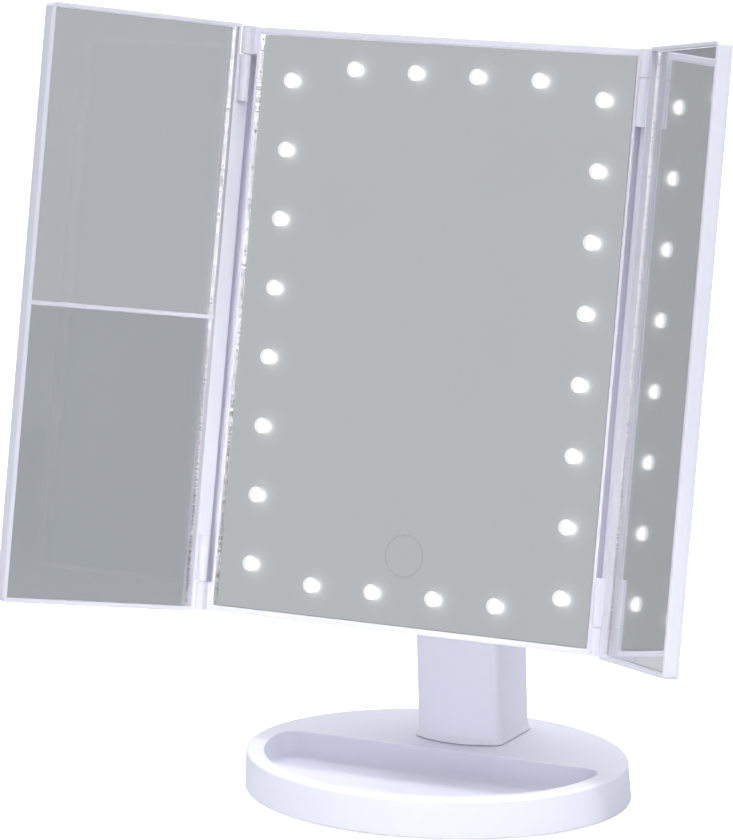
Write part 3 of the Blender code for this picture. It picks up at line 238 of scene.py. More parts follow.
# %% [markdown]
# ## Where the lamps are
# The lamps stand in two columns and two rows behind the centre glass. The construction model's
# strips give their lines, and even spacing gives the rest.

# %% Measure the lamps' lines
side_low, side_high = reach("led_strip_right", PANEL)
row_low, row_high = reach("led_strip_top", PANEL)
STRIP_END = 5.5 * MM
ROW_END = 8.0 * MM
LAMPS_UP = 8
LAMPS_ACROSS = 4
column_x = (side_low.x + side_high.x) / 2
column_z = side_high.z - STRIP_END
row_z = (row_low.z + row_high.z) / 2
row_x = row_high.x - ROW_END
up_pitch = 2 * column_z / (LAMPS_UP - 1)
across_pitch = 2 * row_x / (LAMPS_ACROSS - 1)
lamp_spots = [(side * column_x, -column_z + up_pitch * i) for i in range(LAMPS_UP) for side in (-1, 1)]
lamp_spots += [(-row_x + across_pitch * i, side * row_z) for i in range(LAMPS_ACROSS) for side in (-1, 1)]
print("lamps:", len(lamp_spots), "pitch", round(up_pitch / MM, 1), "mm")

# %% [markdown]
# ## Silver with a painted glow round each lamp
# The silver is scraped away in a small disc before each lamp. Round the disc's rim a glow is
# painted into the silver's emission, so the silver itself glows faintly there though it is no lamp.
# The glow is worked out from the distance to the nearest lamp: along a column it is a fold of the
# height, along a row a fold of the width. The painted glow is shifted towards one side, as if the
# lamp's chip sat some millimetres behind the glass. The magnifiers are slightly hollow. Their silver
# gets the normals of a shallow dish, which bend the reflection although the mesh stays flat. The
# upper one's silver is painted lighter and the lower one's darker, standing in for the darker, lower
# surroundings that the lower one reflects.

# %% Mix the silver
def panel_coordinates(nodes, links, spot):
    """Object coordinates turned upright into the panel's place, as separate x and z."""
    inward = PANEL.inverted()
    mapping = nodes.new("ShaderNodeMapping")
    mapping.inputs["Rotation"].default_value = inward.to_euler()
    mapping.inputs["Location"].default_value = inward.translation
    links.new(spot, mapping.inputs["Vector"])
    split = nodes.new("ShaderNodeSeparateXYZ")
    links.new(mapping.outputs["Vector"], split.inputs[0])
    return split.outputs["X"], split.outputs["Z"]


def nearest_lamp(nodes, links, x, z):
    """Two offsets to the nearest lamp of the columns, and two for the rows."""
    lines = ((x, column_x, z, column_z, up_pitch, LAMPS_UP),
             (z, row_z, x, row_x, across_pitch, LAMPS_ACROSS))
    offsets = []
    for off_line, line, on_line, end, pitch, count in lines:
        beside = sums(nodes, links, "SUBTRACT", sums(nodes, links, "ABSOLUTE", off_line), line)
        step = sums(nodes, links, "DIVIDE", sums(nodes, links, "ADD", on_line, end), pitch)
        nearest = sums(nodes, links, "MAXIMUM", sums(nodes, links, "ROUND", step), 0.0)
        nearest = sums(nodes, links, "MINIMUM", nearest, count - 1.0)
        past = sums(nodes, links, "MULTIPLY", sums(nodes, links, "SUBTRACT", step, nearest), pitch)
        offsets.append((beside, past))
    return offsets


def glow(nodes, links, offsets, width):
    """A soft round spot: one at the lamp, falling to nothing past its width."""
    squares = [sums(nodes, links, "MULTIPLY", offset, offset) for offset in offsets]
    share = sums(nodes, links, "DIVIDE", sums(nodes, links, "ADD", *squares), -width * width)
    return sums(nodes, links, "EXPONENT", share)


# these move the painted glow round each lamp, and each disc's brightest side, off the lamp's centre
GLOW_SHIFT_X = 2.3 * MM
GLOW_SHIFT_Z = -0.3 * MM
TOUCH_R = 7.8 * MM
TOUCH_LINE = 0.35 * MM
DISH_R = 1000 * MM
touch_low, touch_high = reach("touch_sensor_pad", PANEL)
touch_z = (touch_low.z + touch_high.z) / 2


def lamp_glow(nodes, links, spot, width):
    """How strongly the glow round the nearest lamp shows here, for a glow of this width: painted glow on the
    silver, the lamp's own brightness on its disc.
    """
    x, z = panel_coordinates(nodes, links, spot)
    shifted = [sums(nodes, links, "SUBTRACT", value, by) for value, by in ((x, GLOW_SHIFT_X), (z, GLOW_SHIFT_Z))]
    column, row = nearest_lamp(nodes, links, *shifted)
    return sums(nodes, links, "MAXIMUM", glow(nodes, links, column, width), glow(nodes, links, row, width))


def silver(name, low=(0.84, 0.86, 0.865), high=(0.865, 0.885, 0.89)):
    """Bare silver with faint clouds; returns its colour socket too."""
    made, nodes, links, shader, spot = recipe(name)
    shader.inputs["Metallic"].default_value = 1.0
    shader.inputs["Roughness"].default_value = 0.0
    colour = tint(nodes, links, noise(nodes, links, spot, 26.0, 5.0), low, high)
    links.new(colour, shader.inputs["Base Color"])
    return made, nodes, links, shader, spot, colour


def lamp_silver():
    """The centre's silver: a painted glow round each lamp, and the touch switch's faint ring."""
    made, nodes, links, shader, spot, colour = silver("silver_with_painted_lamp_glow")
    # painted glow: emission on the silver round each lamp, though the silver is no lamp
    near = lamp_glow(nodes, links, spot, 1.7 * MM)
    wide = lamp_glow(nodes, links, spot, 4.2 * MM)
    painted_glow = sums(nodes, links, "MULTIPLY_ADD", near, 1.5, sums(nodes, links, "MULTIPLY", wide, 0.14))
    links.new(painted_glow, shader.inputs["Emission Strength"])
    shader.inputs["Emission Color"].default_value = (1.0, 1.0, 0.94, 1)
    x, z = panel_coordinates(nodes, links, spot)
    dz = sums(nodes, links, "SUBTRACT", z, touch_z)
    square = sums(nodes, links, "MULTIPLY_ADD", x, x, sums(nodes, links, "MULTIPLY", dz, dz))
    off = sums(nodes, links, "SUBTRACT", sums(nodes, links, "SQRT", square), TOUCH_R)
    share = sums(nodes, links, "DIVIDE", sums(nodes, links, "ABSOLUTE", off), TOUCH_LINE)
    ring = sums(nodes, links, "SUBTRACT", 1.0, sums(nodes, links, "MINIMUM", share, 1.0))
    etched = nodes.new("ShaderNodeMix")
    etched.data_type = "RGBA"
    etched.inputs[7].default_value = (0.72, 0.74, 0.745, 1)
    links.new(ring, etched.inputs[0])
    links.new(colour, etched.inputs[6])
    links.new(etched.outputs[2], shader.inputs["Base Color"])
    return made


def dished_silver(name, node, low, high):
    """A magnifier's silver: its normals point at one far centre, as on a shallow dish."""
    made, nodes, links, shader, spot, colour = silver(name, low, high)
    first, last = reach(node, WING["left"])
    middle = (first + last) / 2
    centre = WING["left"] @ (middle - Vector((0, DISH_R, 0)))
    towards = nodes.new("ShaderNodeVectorMath")
    towards.operation = "SUBTRACT"
    towards.inputs[0].default_value = centre
    links.new(spot, towards.inputs[1])
    turned = nodes.new("ShaderNodeVectorTransform")
    turned.vector_type = "NORMAL"
    turned.convert_from = "OBJECT"
    turned.convert_to = "WORLD"
    links.new(towards.outputs[0], turned.inputs[0])
    links.new(turned.outputs[0], shader.inputs["Normal"])
    return made


SILVER = lamp_silver()
PLAIN_SILVER = silver("silver", (0.9, 0.905, 0.925), (0.92, 0.925, 0.945))[0]
# painted reflection: the upper magnifier's silver is painted lighter and the lower one's darker, standing in
# for the darker, lower surroundings that the lower one reflects
DISH_PAINTED_TONES = {"upper": ((0.96, 0.965, 0.975), (0.985, 0.99, 1.0)),
              "lower": ((0.79, 0.8, 0.81), (0.82, 0.83, 0.84))}
DISHED = {f"magnifier_{end}": dished_silver(f"silver_dish_painted_tone_{end}", f"magnifier_{end}", *tones)
          for end, tones in DISH_PAINTED_TONES.items()}
print("mixed", SILVER.name, PLAIN_SILVER.name, [made.name for made in DISHED.values()])

# %% [markdown]
# ## The rest of the palette
# Frosted lamp discs, zinc-plated steel with brushing, foam rubber, circuit boards and the cells'
# sleeves. Most of these show only at the back or when a cover is off, yet each has its own grain.

# %% Mix the small finishes
def frosted_lamp():
    """A frosted disc, brightest on the side its chip shows through."""
    made, nodes, links, shader, spot = recipe("frosted_lamp")
    frost = noise(nodes, links, spot, 1800.0, 2.0)
    even = blend(nodes, links, frost, 0.46, 0.68)
    near = lamp_glow(nodes, links, spot, 2.6 * MM)
    links.new(sums(nodes, links, "MULTIPLY_ADD", near, 1.3, even), shader.inputs["Emission Strength"])
    shader.inputs["Emission Color"].default_value = (1.0, 1.0, 0.99, 1)
    links.new(tint(nodes, links, frost, (0.86, 0.87, 0.88), (0.96, 0.96, 0.96)), shader.inputs["Base Color"])
    shader.inputs["Roughness"].default_value = 0.6
    return made


def grained(name, low, high, scale, roughness, metal=0.0, depth=0.00002, stretch=None):
    """One recipe for the small parts: two tones, a grain and its bumps."""
    made, nodes, links, shader, spot = recipe(name)
    grain = noise(nodes, links, spot, scale, 4.0, stretch)
    links.new(tint(nodes, links, grain, low, high), shader.inputs["Base Color"])
    links.new(blend(nodes, links, grain, roughness - 0.08, roughness + 0.08), shader.inputs["Roughness"])
    shader.inputs["Metallic"].default_value = metal
    bumps(nodes, links, grain, depth, shader)
    return made


LAMP = frosted_lamp()
STEEL = grained("zinc_plated_steel", (0.5, 0.5, 0.49), (0.72, 0.72, 0.7), 300.0, 0.3, 1.0, stretch=(1, 1, 12))
RUBBER = grained("foam_rubber", (0.24, 0.24, 0.26), (0.38, 0.38, 0.4), 1500.0, 0.88, depth=0.0001)
COPPER = grained("copper_foil", (0.62, 0.33, 0.2), (0.8, 0.5, 0.34), 500.0, 0.35, 1.0, stretch=(1, 1, 8))
LAMP_BOARD = grained("lamp_board", (0.78, 0.79, 0.77), (0.9, 0.9, 0.88), 700.0, 0.45)
BOARD = grained("green_board", (0.015, 0.12, 0.05), (0.03, 0.2, 0.09), 900.0, 0.4)
SLEEVE = grained("cell_sleeve", (0.03, 0.08, 0.28), (0.07, 0.16, 0.42), 260.0, 0.28, stretch=(12, 1, 1))
print("materials:", len(bpy.data.materials))

# %% [markdown]
# ## Helpers for shapes
# A bmesh box, a bevel with the lesson's settings, and a Boolean between two bmeshes cover almost
# every moulding here. Sharp edges are found by the angle between their faces, so that one bevel
# gives the whole moulding its small radius. The last helper moves a finished shape to its place,
# shades it, hangs it on the body that carries it and hides the nodes it stands for.

# %% Shape helpers
def box(bm, low, high):
    size = Vector(high) - Vector(low)
    middle = (Vector(high) + Vector(low)) / 2
    bmesh.ops.create_cube(bm, size=1, matrix=Matrix.Translation(middle) @ Matrix.Diagonal((*size, 1)))


def boxes(*pairs):
    bm = bmesh.new()
    for low, high in pairs:
        box(bm, low, high)
    return bm


def cylinder(bm, radius, low, high, axis, centre, sides):
    """A closed round bar along Y or Z, from low to high, through the centre of the other two."""
    turns = {"Z": Matrix.Identity(4), "Y": Matrix.Rotation(math.pi / 2, 4, "X")}
    middle = {"Z": (centre[0], centre[1], (low + high) / 2), "Y": (centre[0], (low + high) / 2, centre[1])}
    bmesh.ops.create_cone(bm, cap_ends=True, segments=sides, radius1=radius, radius2=radius,
                          depth=high - low, matrix=Matrix.Translation(middle[axis]) @ turns[axis])


def round_off(bm, edges, width, segments=3):
    bmesh.ops.bevel(bm, geom=edges, offset=width, segments=segments, profile=0.5, affect="EDGES",
                    material=-1, clamp_overlap=True)


def sharp(bm, least=30.0, where=None):
    """Edges whose two faces meet at more than least degrees, and whose middle passes the test."""
    found = []
    for edge in bm.edges:
        if len(edge.link_faces) == 2 and edge.calc_face_angle() > math.radians(least):
            middle = (edge.verts[0].co + edge.verts[1].co) / 2
            if where is None or where(middle):
                found.append(edge)
    return found


def along(bm, axis):
    """Straight edges that run along one axis: 0, 1 or 2."""
    found = []
    for edge in bm.edges:
        run = edge.verts[1].co - edge.verts[0].co
        if abs(run[axis]) > 0.999 * run.length:
            found.append(edge)
    return found


def combine(bm, tool, operation):
    """Cut, join or keep what two closed bmeshes share; the result is a new bmesh."""
    objects = []
    for shape in (bm, tool):
        bmesh.ops.recalc_face_normals(shape, faces=shape.faces)
        mesh = bpy.data.meshes.new("shape")
        shape.to_mesh(mesh)
        shape.free()
        objects.append(bpy.data.objects.new("shape", mesh))
        bpy.context.scene.collection.objects.link(objects[-1])
    modifier = objects[0].modifiers.new("combine", "BOOLEAN")
    modifier.object = objects[1]
    modifier.operation = operation
    modifier.solver = "EXACT"
    graph = bpy.context.evaluated_depsgraph_get()
    result = bmesh.new()
    result.from_mesh(objects[0].evaluated_get(graph).to_mesh())
    for made in objects:
        bpy.data.objects.remove(made)
    bmesh.ops.remove_doubles(result, verts=result.verts, dist=0.000001)
    return result


def finish(name, bm, place, body, finishes, stands_for=(), smooth=32.0):
    """Move a shape to its place, shade it, and give it to the body that carries it."""
    bmesh.ops.recalc_face_normals(bm, faces=bm.faces)
    bmesh.ops.transform(bm, matrix=place, verts=bm.verts)
    mesh = bpy.data.meshes.new(name)
    bm.to_mesh(mesh)
    bm.free()
    for made in finishes:
        mesh.materials.append(made)
    mesh.shade_smooth()
    mesh.set_sharp_from_angle(angle=math.radians(smooth))
    piece = bpy.data.objects.new(name, mesh)
    bpy.context.scene.collection.objects.link(piece)
    normals = piece.modifiers.new("flat faces stay flat", "WEIGHTED_NORMAL")
    normals.keep_sharp = True
    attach(piece, body)
    if stands_for:
        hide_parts(*stands_for)
    return piece


HERE = Matrix.Identity(4)
HAIR = 0.03 * MM
print("shape helpers ready")

# %% [markdown]
# ## The base
# The base is an oval shell with a shallow tray moulded into its front half. A circle is scaled to
# the oval and extruded ring by ring up the drafted side and round its top edge. The tray's edge is
# straight at the back and follows the rim at the front; extruded down and given a floor radius, it
# becomes the tool that cuts the tray. A soft edge where the tray meets the top finishes it.

# %% Base sizes
base_low, base_high = reach("base_shell", HERE)
DRAFT = 0.8 * MM
BASE_A = base_high.x - DRAFT
BASE_B = base_high.y - DRAFT
BASE_H = base_high.z
WALL = 2.0 * MM
FOOT_ROUND = 0.8 * MM
TOP_ROUND = 1.4 * MM
TRAY_FLOOR = 4.5 * MM
TRAY_BACK = 5.0 * MM
LAND_X = 7.6 * MM
LAND_Y = 4.6 * MM
TRAY_CORNER = 7.0 * MM
TRAY_FILLET = 1.8 * MM
OVAL_SIDES = 200
TRAY_STEPS = 110
TRAY_EDGE = 0.55 * MM
BOSS_R = 3.2 * MM
BOSS_FOOT = 1.9 * MM
BOSS_SPOTS = ((56 * MM, 17 * MM), (32 * MM, 43 * MM))
print("base", round(2 * BASE_A / MM), "x", round(2 * BASE_B / MM), "mm")


# %% Oval solids by rings
def oval_solid(profile):
    """Rings of an oval, one for each pair of growth and height, closed at both ends."""
    bm = bmesh.new()
    grow, z = profile[0]
    ring = bmesh.ops.create_circle(bm, segments=OVAL_SIDES, radius=1.0, cap_ends=True)["verts"]
    bmesh.ops.scale(bm, vec=(BASE_A + grow, BASE_B + grow, 1), verts=ring)
    bmesh.ops.translate(bm, vec=(0, 0, z), verts=ring)
    top = bottom = bm.faces[:]
    for grow_next, z_next in profile[1:]:
        made = bmesh.ops.extrude_face_region(bm, geom=top)["geom"]
        if top is not bottom:
            bmesh.ops.delete(bm, geom=top, context="FACES_ONLY")
        verts = [item for item in made if isinstance(item, bmesh.types.BMVert)]
        top = [item for item in made if isinstance(item, bmesh.types.BMFace)]
        share = ((BASE_A + grow_next) / (BASE_A + grow), (BASE_B + grow_next) / (BASE_B + grow), 1)
        bmesh.ops.scale(bm, vec=share, verts=verts)
        bmesh.ops.translate(bm, vec=(0, 0, z_next - z), verts=verts)
        grow, z = grow_next, z_next
    return bm


def quarter(steps):
    return [math.pi / 2 * i / steps for i in range(steps + 1)]


foot = [(DRAFT - FOOT_ROUND * (1 - math.sin(a)), FOOT_ROUND * (1 - math.cos(a))) for a in quarter(5)]
crown = [(-TOP_ROUND * (1 - math.cos(a)), BASE_H - TOP_ROUND * (1 - math.sin(a))) for a in quarter(8)]
print("side rings:", len(foot) + len(crown))


# %% The tray's outline
def arc(centre, radius, start, end, steps):
    angles = [start + (end - start) * i / steps for i in range(steps + 1)]
    return [(centre[0] + radius * math.cos(a), centre[1] + radius * math.sin(a)) for a in angles]


def tray_solid(grow, low, high, fillet=0.0):
    """The tray as a solid: a straight back, round corners, and a front that follows the rim."""
    half_x = BASE_A - LAND_X + grow
    half_y = BASE_B - LAND_Y + grow
    corner = TRAY_CORNER + grow
    corner_y = TRAY_BACK + grow - corner
    turned = math.asin(corner_y / (half_y - corner))
    corner_x = (half_x - corner) * math.cos(turned)
    facing = math.atan2(math.sin(turned) / (half_y - corner), math.cos(turned) / (half_x - corner))
    right = arc((corner_x, corner_y), corner, math.pi / 2, facing, 12)
    sweep = [turned + (-math.pi - 2 * turned) * i / TRAY_STEPS for i in range(1, TRAY_STEPS)]
    front = [(half_x * math.cos(a), half_y * math.sin(a)) for a in sweep]
    left = [(-x, y) for x, y in reversed(right)]
    bm = bmesh.new()
    floor = bm.faces.new([bm.verts.new((x, y, low)) for x, y in right + front + left])
    made = bmesh.ops.extrude_face_region(bm, geom=[floor])["geom"]
    raised = [item for item in made if isinstance(item, bmesh.types.BMVert)]
    bmesh.ops.translate(bm, vec=(0, 0, high - low), verts=raised)
    if fillet:
        round_off(bm, sharp(bm, 45, lambda p: abs(p.z - low) < 0.01 * MM), fillet, 6)
    return bm


print("tray", round(2 * (BASE_A - LAND_X) / MM), "mm wide")

# %% Cut the base and its tray
shell = oval_solid(foot + crown)
room = oval_solid([(-WALL, -MM), (-WALL, BASE_H - WALL)])
room = combine(room, tray_solid(WALL, TRAY_FLOOR - WALL, BASE_H), "DIFFERENCE")
bosses = bmesh.new()
for x, y in BOSS_SPOTS:
    for sign in (-1, 1):
        cylinder(bosses, BOSS_R, BOSS_FOOT, BASE_H, "Z", (sign * x, y), 32)
room = combine(room, bosses, "DIFFERENCE")
shell = combine(shell, room, "DIFFERENCE")
shell = combine(shell, tray_solid(0, TRAY_FLOOR, BASE_H + MM, TRAY_FILLET), "DIFFERENCE")
rim = sharp(shell, 45, lambda p: abs(p.z - BASE_H) < 0.05 * MM)
round_off(shell, rim, TRAY_EDGE, 4)
base = finish("base_shell_moulding", shell, HERE, "base", [WHITE], ["base_shell"])
print("base faces:", len(base.data.polygons))

# %% [markdown]
# ## Mouldings taken over from the construction model
# The post, the rear cover, the door and the wings' backs already have their true shapes. What they
# lack is a skin: their triangles are loose, so they shade in facets. A copy is welded, its flat
# stretches are joined into whole faces, and its sharp edges get a moulding's small radius. Two
# halves of a real moulding meet in a hairline, but a construction model leaves a gap, so the rear
# post shell's rim is moved forward to close it. The wings' ends stand a touch past the panel's.

# %% Take over a node with softened edges
OVERHANG = 0.8 * MM
WING_END = 104 * MM
SEAM_GAP = 0.28 * MM


def taken_over(node, radius, segments=2, least=40.0, where=None):
    """A welded copy of a construction node with its sharp edges rounded."""
    bm = bmesh.new()
    bm.from_mesh(frame["nodes"][node].data)
    bmesh.ops.remove_doubles(bm, verts=bm.verts, dist=0.000002)
    bmesh.ops.dissolve_limit(bm, angle_limit=math.radians(0.5), verts=bm.verts, edges=bm.edges)
    if radius:
        edges = sharp(bm, least, where)
        round_off(bm, edges, radius, segments)
    return bm


def stretched(z):
    """A height in a wing's place, a touch further out if it is near either end."""
    return z + math.copysign(OVERHANG, z) if abs(z) > WING_END else z


def taller(bm, place):
    """Let a wing's ends stand a touch beyond the panel's, as they do on the real object."""
    inward = place.inverted()
    for vert in bm.verts:
        spot = inward @ vert.co
        vert.co = place @ Vector((spot.x, spot.y, stretched(spot.z)))


def take_over(name, node, body, radius, **settings):
    bm = taken_over(node, radius, **settings)
    return finish(name, bm, HERE, body, [WHITE], [node])


seam_y = reach("post_rear_shell", HERE)[0].y
lip_y = reach("post_front_shell", HERE)[1].y
for half in ("front", "rear"):
    bm = taken_over(f"post_{half}_shell", 0.25 * MM, where=lambda p: not seam_y - MM < p.y < lip_y + MM)
    if half == "rear":
        for vert in bm.verts:
            if abs(vert.co.y - seam_y) < HAIR:
                vert.co.y -= SEAM_GAP
    made = finish(f"post_{half}_moulding", bm, HERE, "base", [WHITE], [f"post_{half}_shell"])
    print(made.name, len(made.data.polygons), "faces")
take_over("rear_cover_moulding", "rear_cover", "panel", 0.2 * MM)
take_over("battery_door_moulding", "battery_door", "door", 0.2 * MM)
for side in SIGN:
    inward = WING[side].inverted()
    skin_y = reach(f"{side}_wing_back", WING[side])[1].y - 0.6 * MM
    bm = taken_over(f"{side}_wing_back", 0.2 * MM, where=lambda p: (inward @ p).y > skin_y)
    taller(bm, WING[side])
    finish(f"{side}_wing_back_moulding", bm, HERE, f"{side}_wing", [WHITE],
           [f"{side}_wing_back"])
print("mouldings taken over")

# %% [markdown]
# ## The front bezel
# The bezel is one thin frame: narrow rims above and below the glass, wide strips at the sides. A
# rebate runs down each strip for the wing's edge to turn in, with a raised lip towards the glass,
# and a hinge barrel stands at each corner. It is a rounded plate with boxes cut from it. Every sharp
# edge then gets the same small radius, and the barrels are joined on last, already rounded.

# %% Bezel sizes
glass_low, glass_high = reach("centre_mirror", PANEL)
half_w, half_h = bezel_high.x, bezel_high.z
BARREL_R = 2.1 * MM
BARREL_H = 10.6 * MM
GAP = 0.3 * MM
CORNER = 3.0 * MM
EDGE_R = 0.35 * MM
LIP_W = 1.35 * MM
GLASS_ROOM = 0.15 * MM
LEDGE_W = 6.8 * MM
LEDGE_T = 1.3 * MM
GLASS_SUNK = 0.2 * MM
REBATE_DEPTH = 5.0 * MM
WEB_DEPTH = 2 * MM
BORE_R = 1.0 * MM
BORE_DEPTH = 8 * MM
BARREL_ROUND = 0.8 * MM
front_y = glass_low.y - GLASS_SUNK
rebate_y = front_y + REBATE_DEPTH
seat_x = glass_high.x + GLASS_ROOM
seat_low = glass_low.z - GLASS_ROOM
seat_high = glass_high.z + GLASS_ROOM
hinge_x = hinge["right"].x
print("bezel front at", round(front_y / MM, 2), "mm behind the hinge line")


# %% Cut the plate
def plate(half_x, low_z, high_z, low_y, high_y, corner, segments=8):
    bm = boxes(((-half_x, low_y, low_z), (half_x, high_y, high_z)))
    round_off(bm, along(bm, 1), corner, segments)
    return bm


bezel = plate(half_w, -half_h, half_h, front_y, bezel_high.y, CORNER)
ledge_y = glass_high.y + GAP
bezel = combine(bezel, boxes(((-seat_x, -1, seat_low), (seat_x, ledge_y, seat_high))), "DIFFERENCE")
window = boxes(((-seat_x + LEDGE_W, -1, seat_low + LEDGE_W), (seat_x - LEDGE_W, 1, seat_high - LEDGE_W)))
bezel = combine(bezel, window, "DIFFERENCE")
behind = boxes(((-seat_x, ledge_y + LEDGE_T, seat_low), (seat_x, 1, seat_high)))
bezel = combine(bezel, behind, "DIFFERENCE")
channel_z = half_h - BARREL_H
for sign in (-1, 1):
    x = sorted((sign * (seat_x + LIP_W), sign * (half_w + MM)))
    channel = boxes(((x[0], -1, -channel_z), (x[1], rebate_y, channel_z)))
    bezel = combine(bezel, channel, "DIFFERENCE")
print("bezel corners:", len(bezel.verts))


# %% Round every edge, and add the barrels
def barrel(sign, end):
    """A hinge barrel with the web that carries it, rounded at its outer end.

    It stays a hair inside the plate's own faces, because a Boolean needs faces that truly cross."""
    bm = bmesh.new()
    low, high = sorted((end * (half_h - BARREL_H + HAIR), end * (half_h - HAIR)))
    cylinder(bm, BARREL_R, low, high, "Z", (sign * hinge_x, 0), 40)
    web_x = BARREL_R - HAIR
    web = boxes(((sign * hinge_x - web_x, 0, low), (sign * hinge_x + web_x, front_y + WEB_DEPTH, high)))
    bm = combine(bm, web, "UNION")
    bore = bmesh.new()
    near = end * (half_h - BARREL_H - MM)
    far = end * (half_h - BARREL_H + BORE_DEPTH)
    cylinder(bore, BORE_R, *sorted((near, far)), "Z", (sign * hinge_x, 0), 24)
    bm = combine(bm, bore, "DIFFERENCE")
    outer = sharp(bm, 50, lambda p: abs(p.z - end * half_h) < 2 * HAIR)
    round_off(bm, outer, BARREL_ROUND, 4)
    return bm


round_off(bezel, sharp(bezel, 50), EDGE_R, 3)
for sign in (-1, 1):
    for end in (-1, 1):
        bezel = combine(bezel, barrel(sign, end), "UNION")
bmesh.ops.holes_fill(bezel, edges=[edge for edge in bezel.edges if edge.is_boundary], sides=0)
made = finish("front_bezel_moulding", bezel, PANEL, "panel", [WHITE], ["front_bezel"])
print(made.name, len(made.data.polygons), "faces")

# %% [markdown]
# ## Glass, silver and lamp discs
# The centre glass is a slab with lightly seamed edges and its side faces ground. Its silver is a
# thin sheet a hair behind it. The frosted discs lie just before the silver, where each lamp shines
# through. The other ground sides glow with painted glints; the centre pane's right and lower sides are ground
# without them.

# %% Cut the panes
PANE_EDGE = 0.12 * MM
SILVER_FRONT = 0.06 * MM
SILVER_BACK = 0.12 * MM


def pane(name, low, high, place, body, silver_finish, node):
    """A glass slab with ground edges and the silver sheet behind it."""
    bm = boxes((low, high))
    bm.normal_update()
    for face in bm.faces:
        face.material_index = 0 if abs(face.normal.y) > 0.5 else 1
        # the centre pane's right and lower sides take the ground edge without painted glints
        if body == "panel" and (face.normal.x > 0.5 or face.normal.z < -0.5):
            face.material_index = 2
    round_off(bm, sharp(bm), PANE_EDGE, 2)
    finish(name + "_glass", bm, place, body, [GLASS, EDGE_WITH_PAINTED_GLINTS, PLAIN_EDGE], [node])
    sheet_low = (low[0], high[1] + SILVER_FRONT, low[2])
    sheet_high = (high[0], high[1] + SILVER_BACK, high[2])
    finish(name + "_silver", boxes((sheet_low, sheet_high)), place, body, [silver_finish], [node])


pane("centre", glass_low, glass_high, PANEL, "panel", SILVER, "centre_mirror")
for side in SIGN:
    wing_nodes = ("magnifier_lower", "magnifier_upper") if side == "left" else ("right_wing_mirror",)
    for node in wing_nodes:
        low, high = reach(node, WING[side])
        low.z, high.z = stretched(low.z), stretched(high.z)
        silvered = DISHED.get(node, PLAIN_SILVER)
        pane(node.replace("_mirror", ""), low, high, WING[side], f"{side}_wing", silvered, node)
print("panes cut")

# %% Lay the frosted discs
LAMP_R = 2.95 * MM
DISC_FRONT = 0.015 * MM
DISC_BACK = 0.045 * MM
discs = bmesh.new()
for x, z in lamp_spots:
    disc = bmesh.new()
    cylinder(disc, LAMP_R, glass_high.y + DISC_FRONT, glass_high.y + DISC_BACK, "Y", (x, z), 40)
    spare = bpy.data.meshes.new("disc")
    disc.to_mesh(spare)
    disc.free()
    discs.from_mesh(spare)
    bpy.data.meshes.remove(spare)
finish("lamp_windows", discs, PANEL, "panel", [LAMP])
print("lamp windows:", len(lamp_spots))

# %% [markdown]
# ## The wing frames
# Each wing's frame has thin rims on three sides and a thicker bar along the hinge, with a knuckle
# near each end. The left one has a narrow bar across its middle, between its two panes. The frame's
# rear rim is moved to the wing's back, so that the two meet in a hairline.

# %% Take over the wing frames
for side in SIGN:
    inward = WING[side].inverted()
    back_y = reach(f"{side}_wing_back", WING[side])[0].y
    bm = taken_over(f"{side}_wing_frame", 0.15 * MM, where=lambda p: (inward @ p).y < back_y - MM)
    for vert in bm.verts:
        spot = inward @ vert.co
        if 0 < back_y - spot.y < SEAM_GAP + HAIR:
            vert.co = WING[side] @ Vector((spot.x, back_y - HAIR, spot.z))
    taller(bm, WING[side])
    made = finish(f"{side}_wing_frame_moulding", bm, HERE, f"{side}_wing", [WHITE],
                  [f"{side}_wing_frame"])
    print(made.name, len(made.data.polygons), "faces")

# %% [markdown]
# ## Finishes for the pieces that stay
# The other nodes keep their construction shape, because it is right: screws, pins, feet, boards and
# cells. Each gets the finish of its own material.

# %% Give the remaining nodes their finishes
BY_WORD = (("screw", STEEL), ("hinge_pin", STEEL), ("pivot_", STEEL), ("ballast", STEEL), ("usb", STEEL),
           ("contact", STEEL), ("foot_pad", RUBBER), ("washer", BLACK), ("holder", BLACK), ("switch", BLACK),
           ("touch", COPPER), ("led_strip", LAMP_BOARD), ("board", BOARD), ("cell", SLEEVE))
for name, node in frame["nodes"].items():
    chosen = next((made for word, made in BY_WORD if word in name), WHITE)
    node.data.materials.clear()
    node.data.materials.append(chosen)
print("nodes with a finish:", len(frame["nodes"]))

# %% [markdown]
# ## Floor, light and surroundings
# The object stands on pure white, so it reads by its own soft shading. The room round it is a light
# grey, and that is what its glass shows. Both are one world shader: white where it is looked at
# directly, grey for every ray that has met something first. The floor works the same way.

# %% Lay the floor
FLOOR_Z = reach("foot_pad_1", HERE)[0].z
floor_bm = bmesh.new()
bmesh.ops.create_grid(floor_bm, x_segments=1, y_segments=1, size=6.0)
bmesh.ops.translate(floor_bm, vec=(0, 0, FLOOR_Z), verts=floor_bm.verts)
floor_mesh = bpy.data.meshes.new("floor")
floor_bm.to_mesh(floor_mesh)
floor_bm.free()
floor = bpy.data.objects.new("floor", floor_mesh)
bpy.context.scene.collection.objects.link(floor)
made, nodes, links, shader, spot = recipe("white_floor")
shader.inputs["Base Color"].default_value = (0.6, 0.61, 0.63, 1)
shader.inputs["Roughness"].default_value = 0.8
shader.inputs["Specular IOR Level"].default_value = 0.0
shader.inputs["Emission Color"].default_value = (1, 1, 1, 1)
links.new(nodes.new("ShaderNodeLightPath").outputs["Is Camera Ray"], shader.inputs["Emission Strength"])
floor_mesh.materials.append(made)
print("floor at", round(FLOOR_Z / MM, 2), "mm")

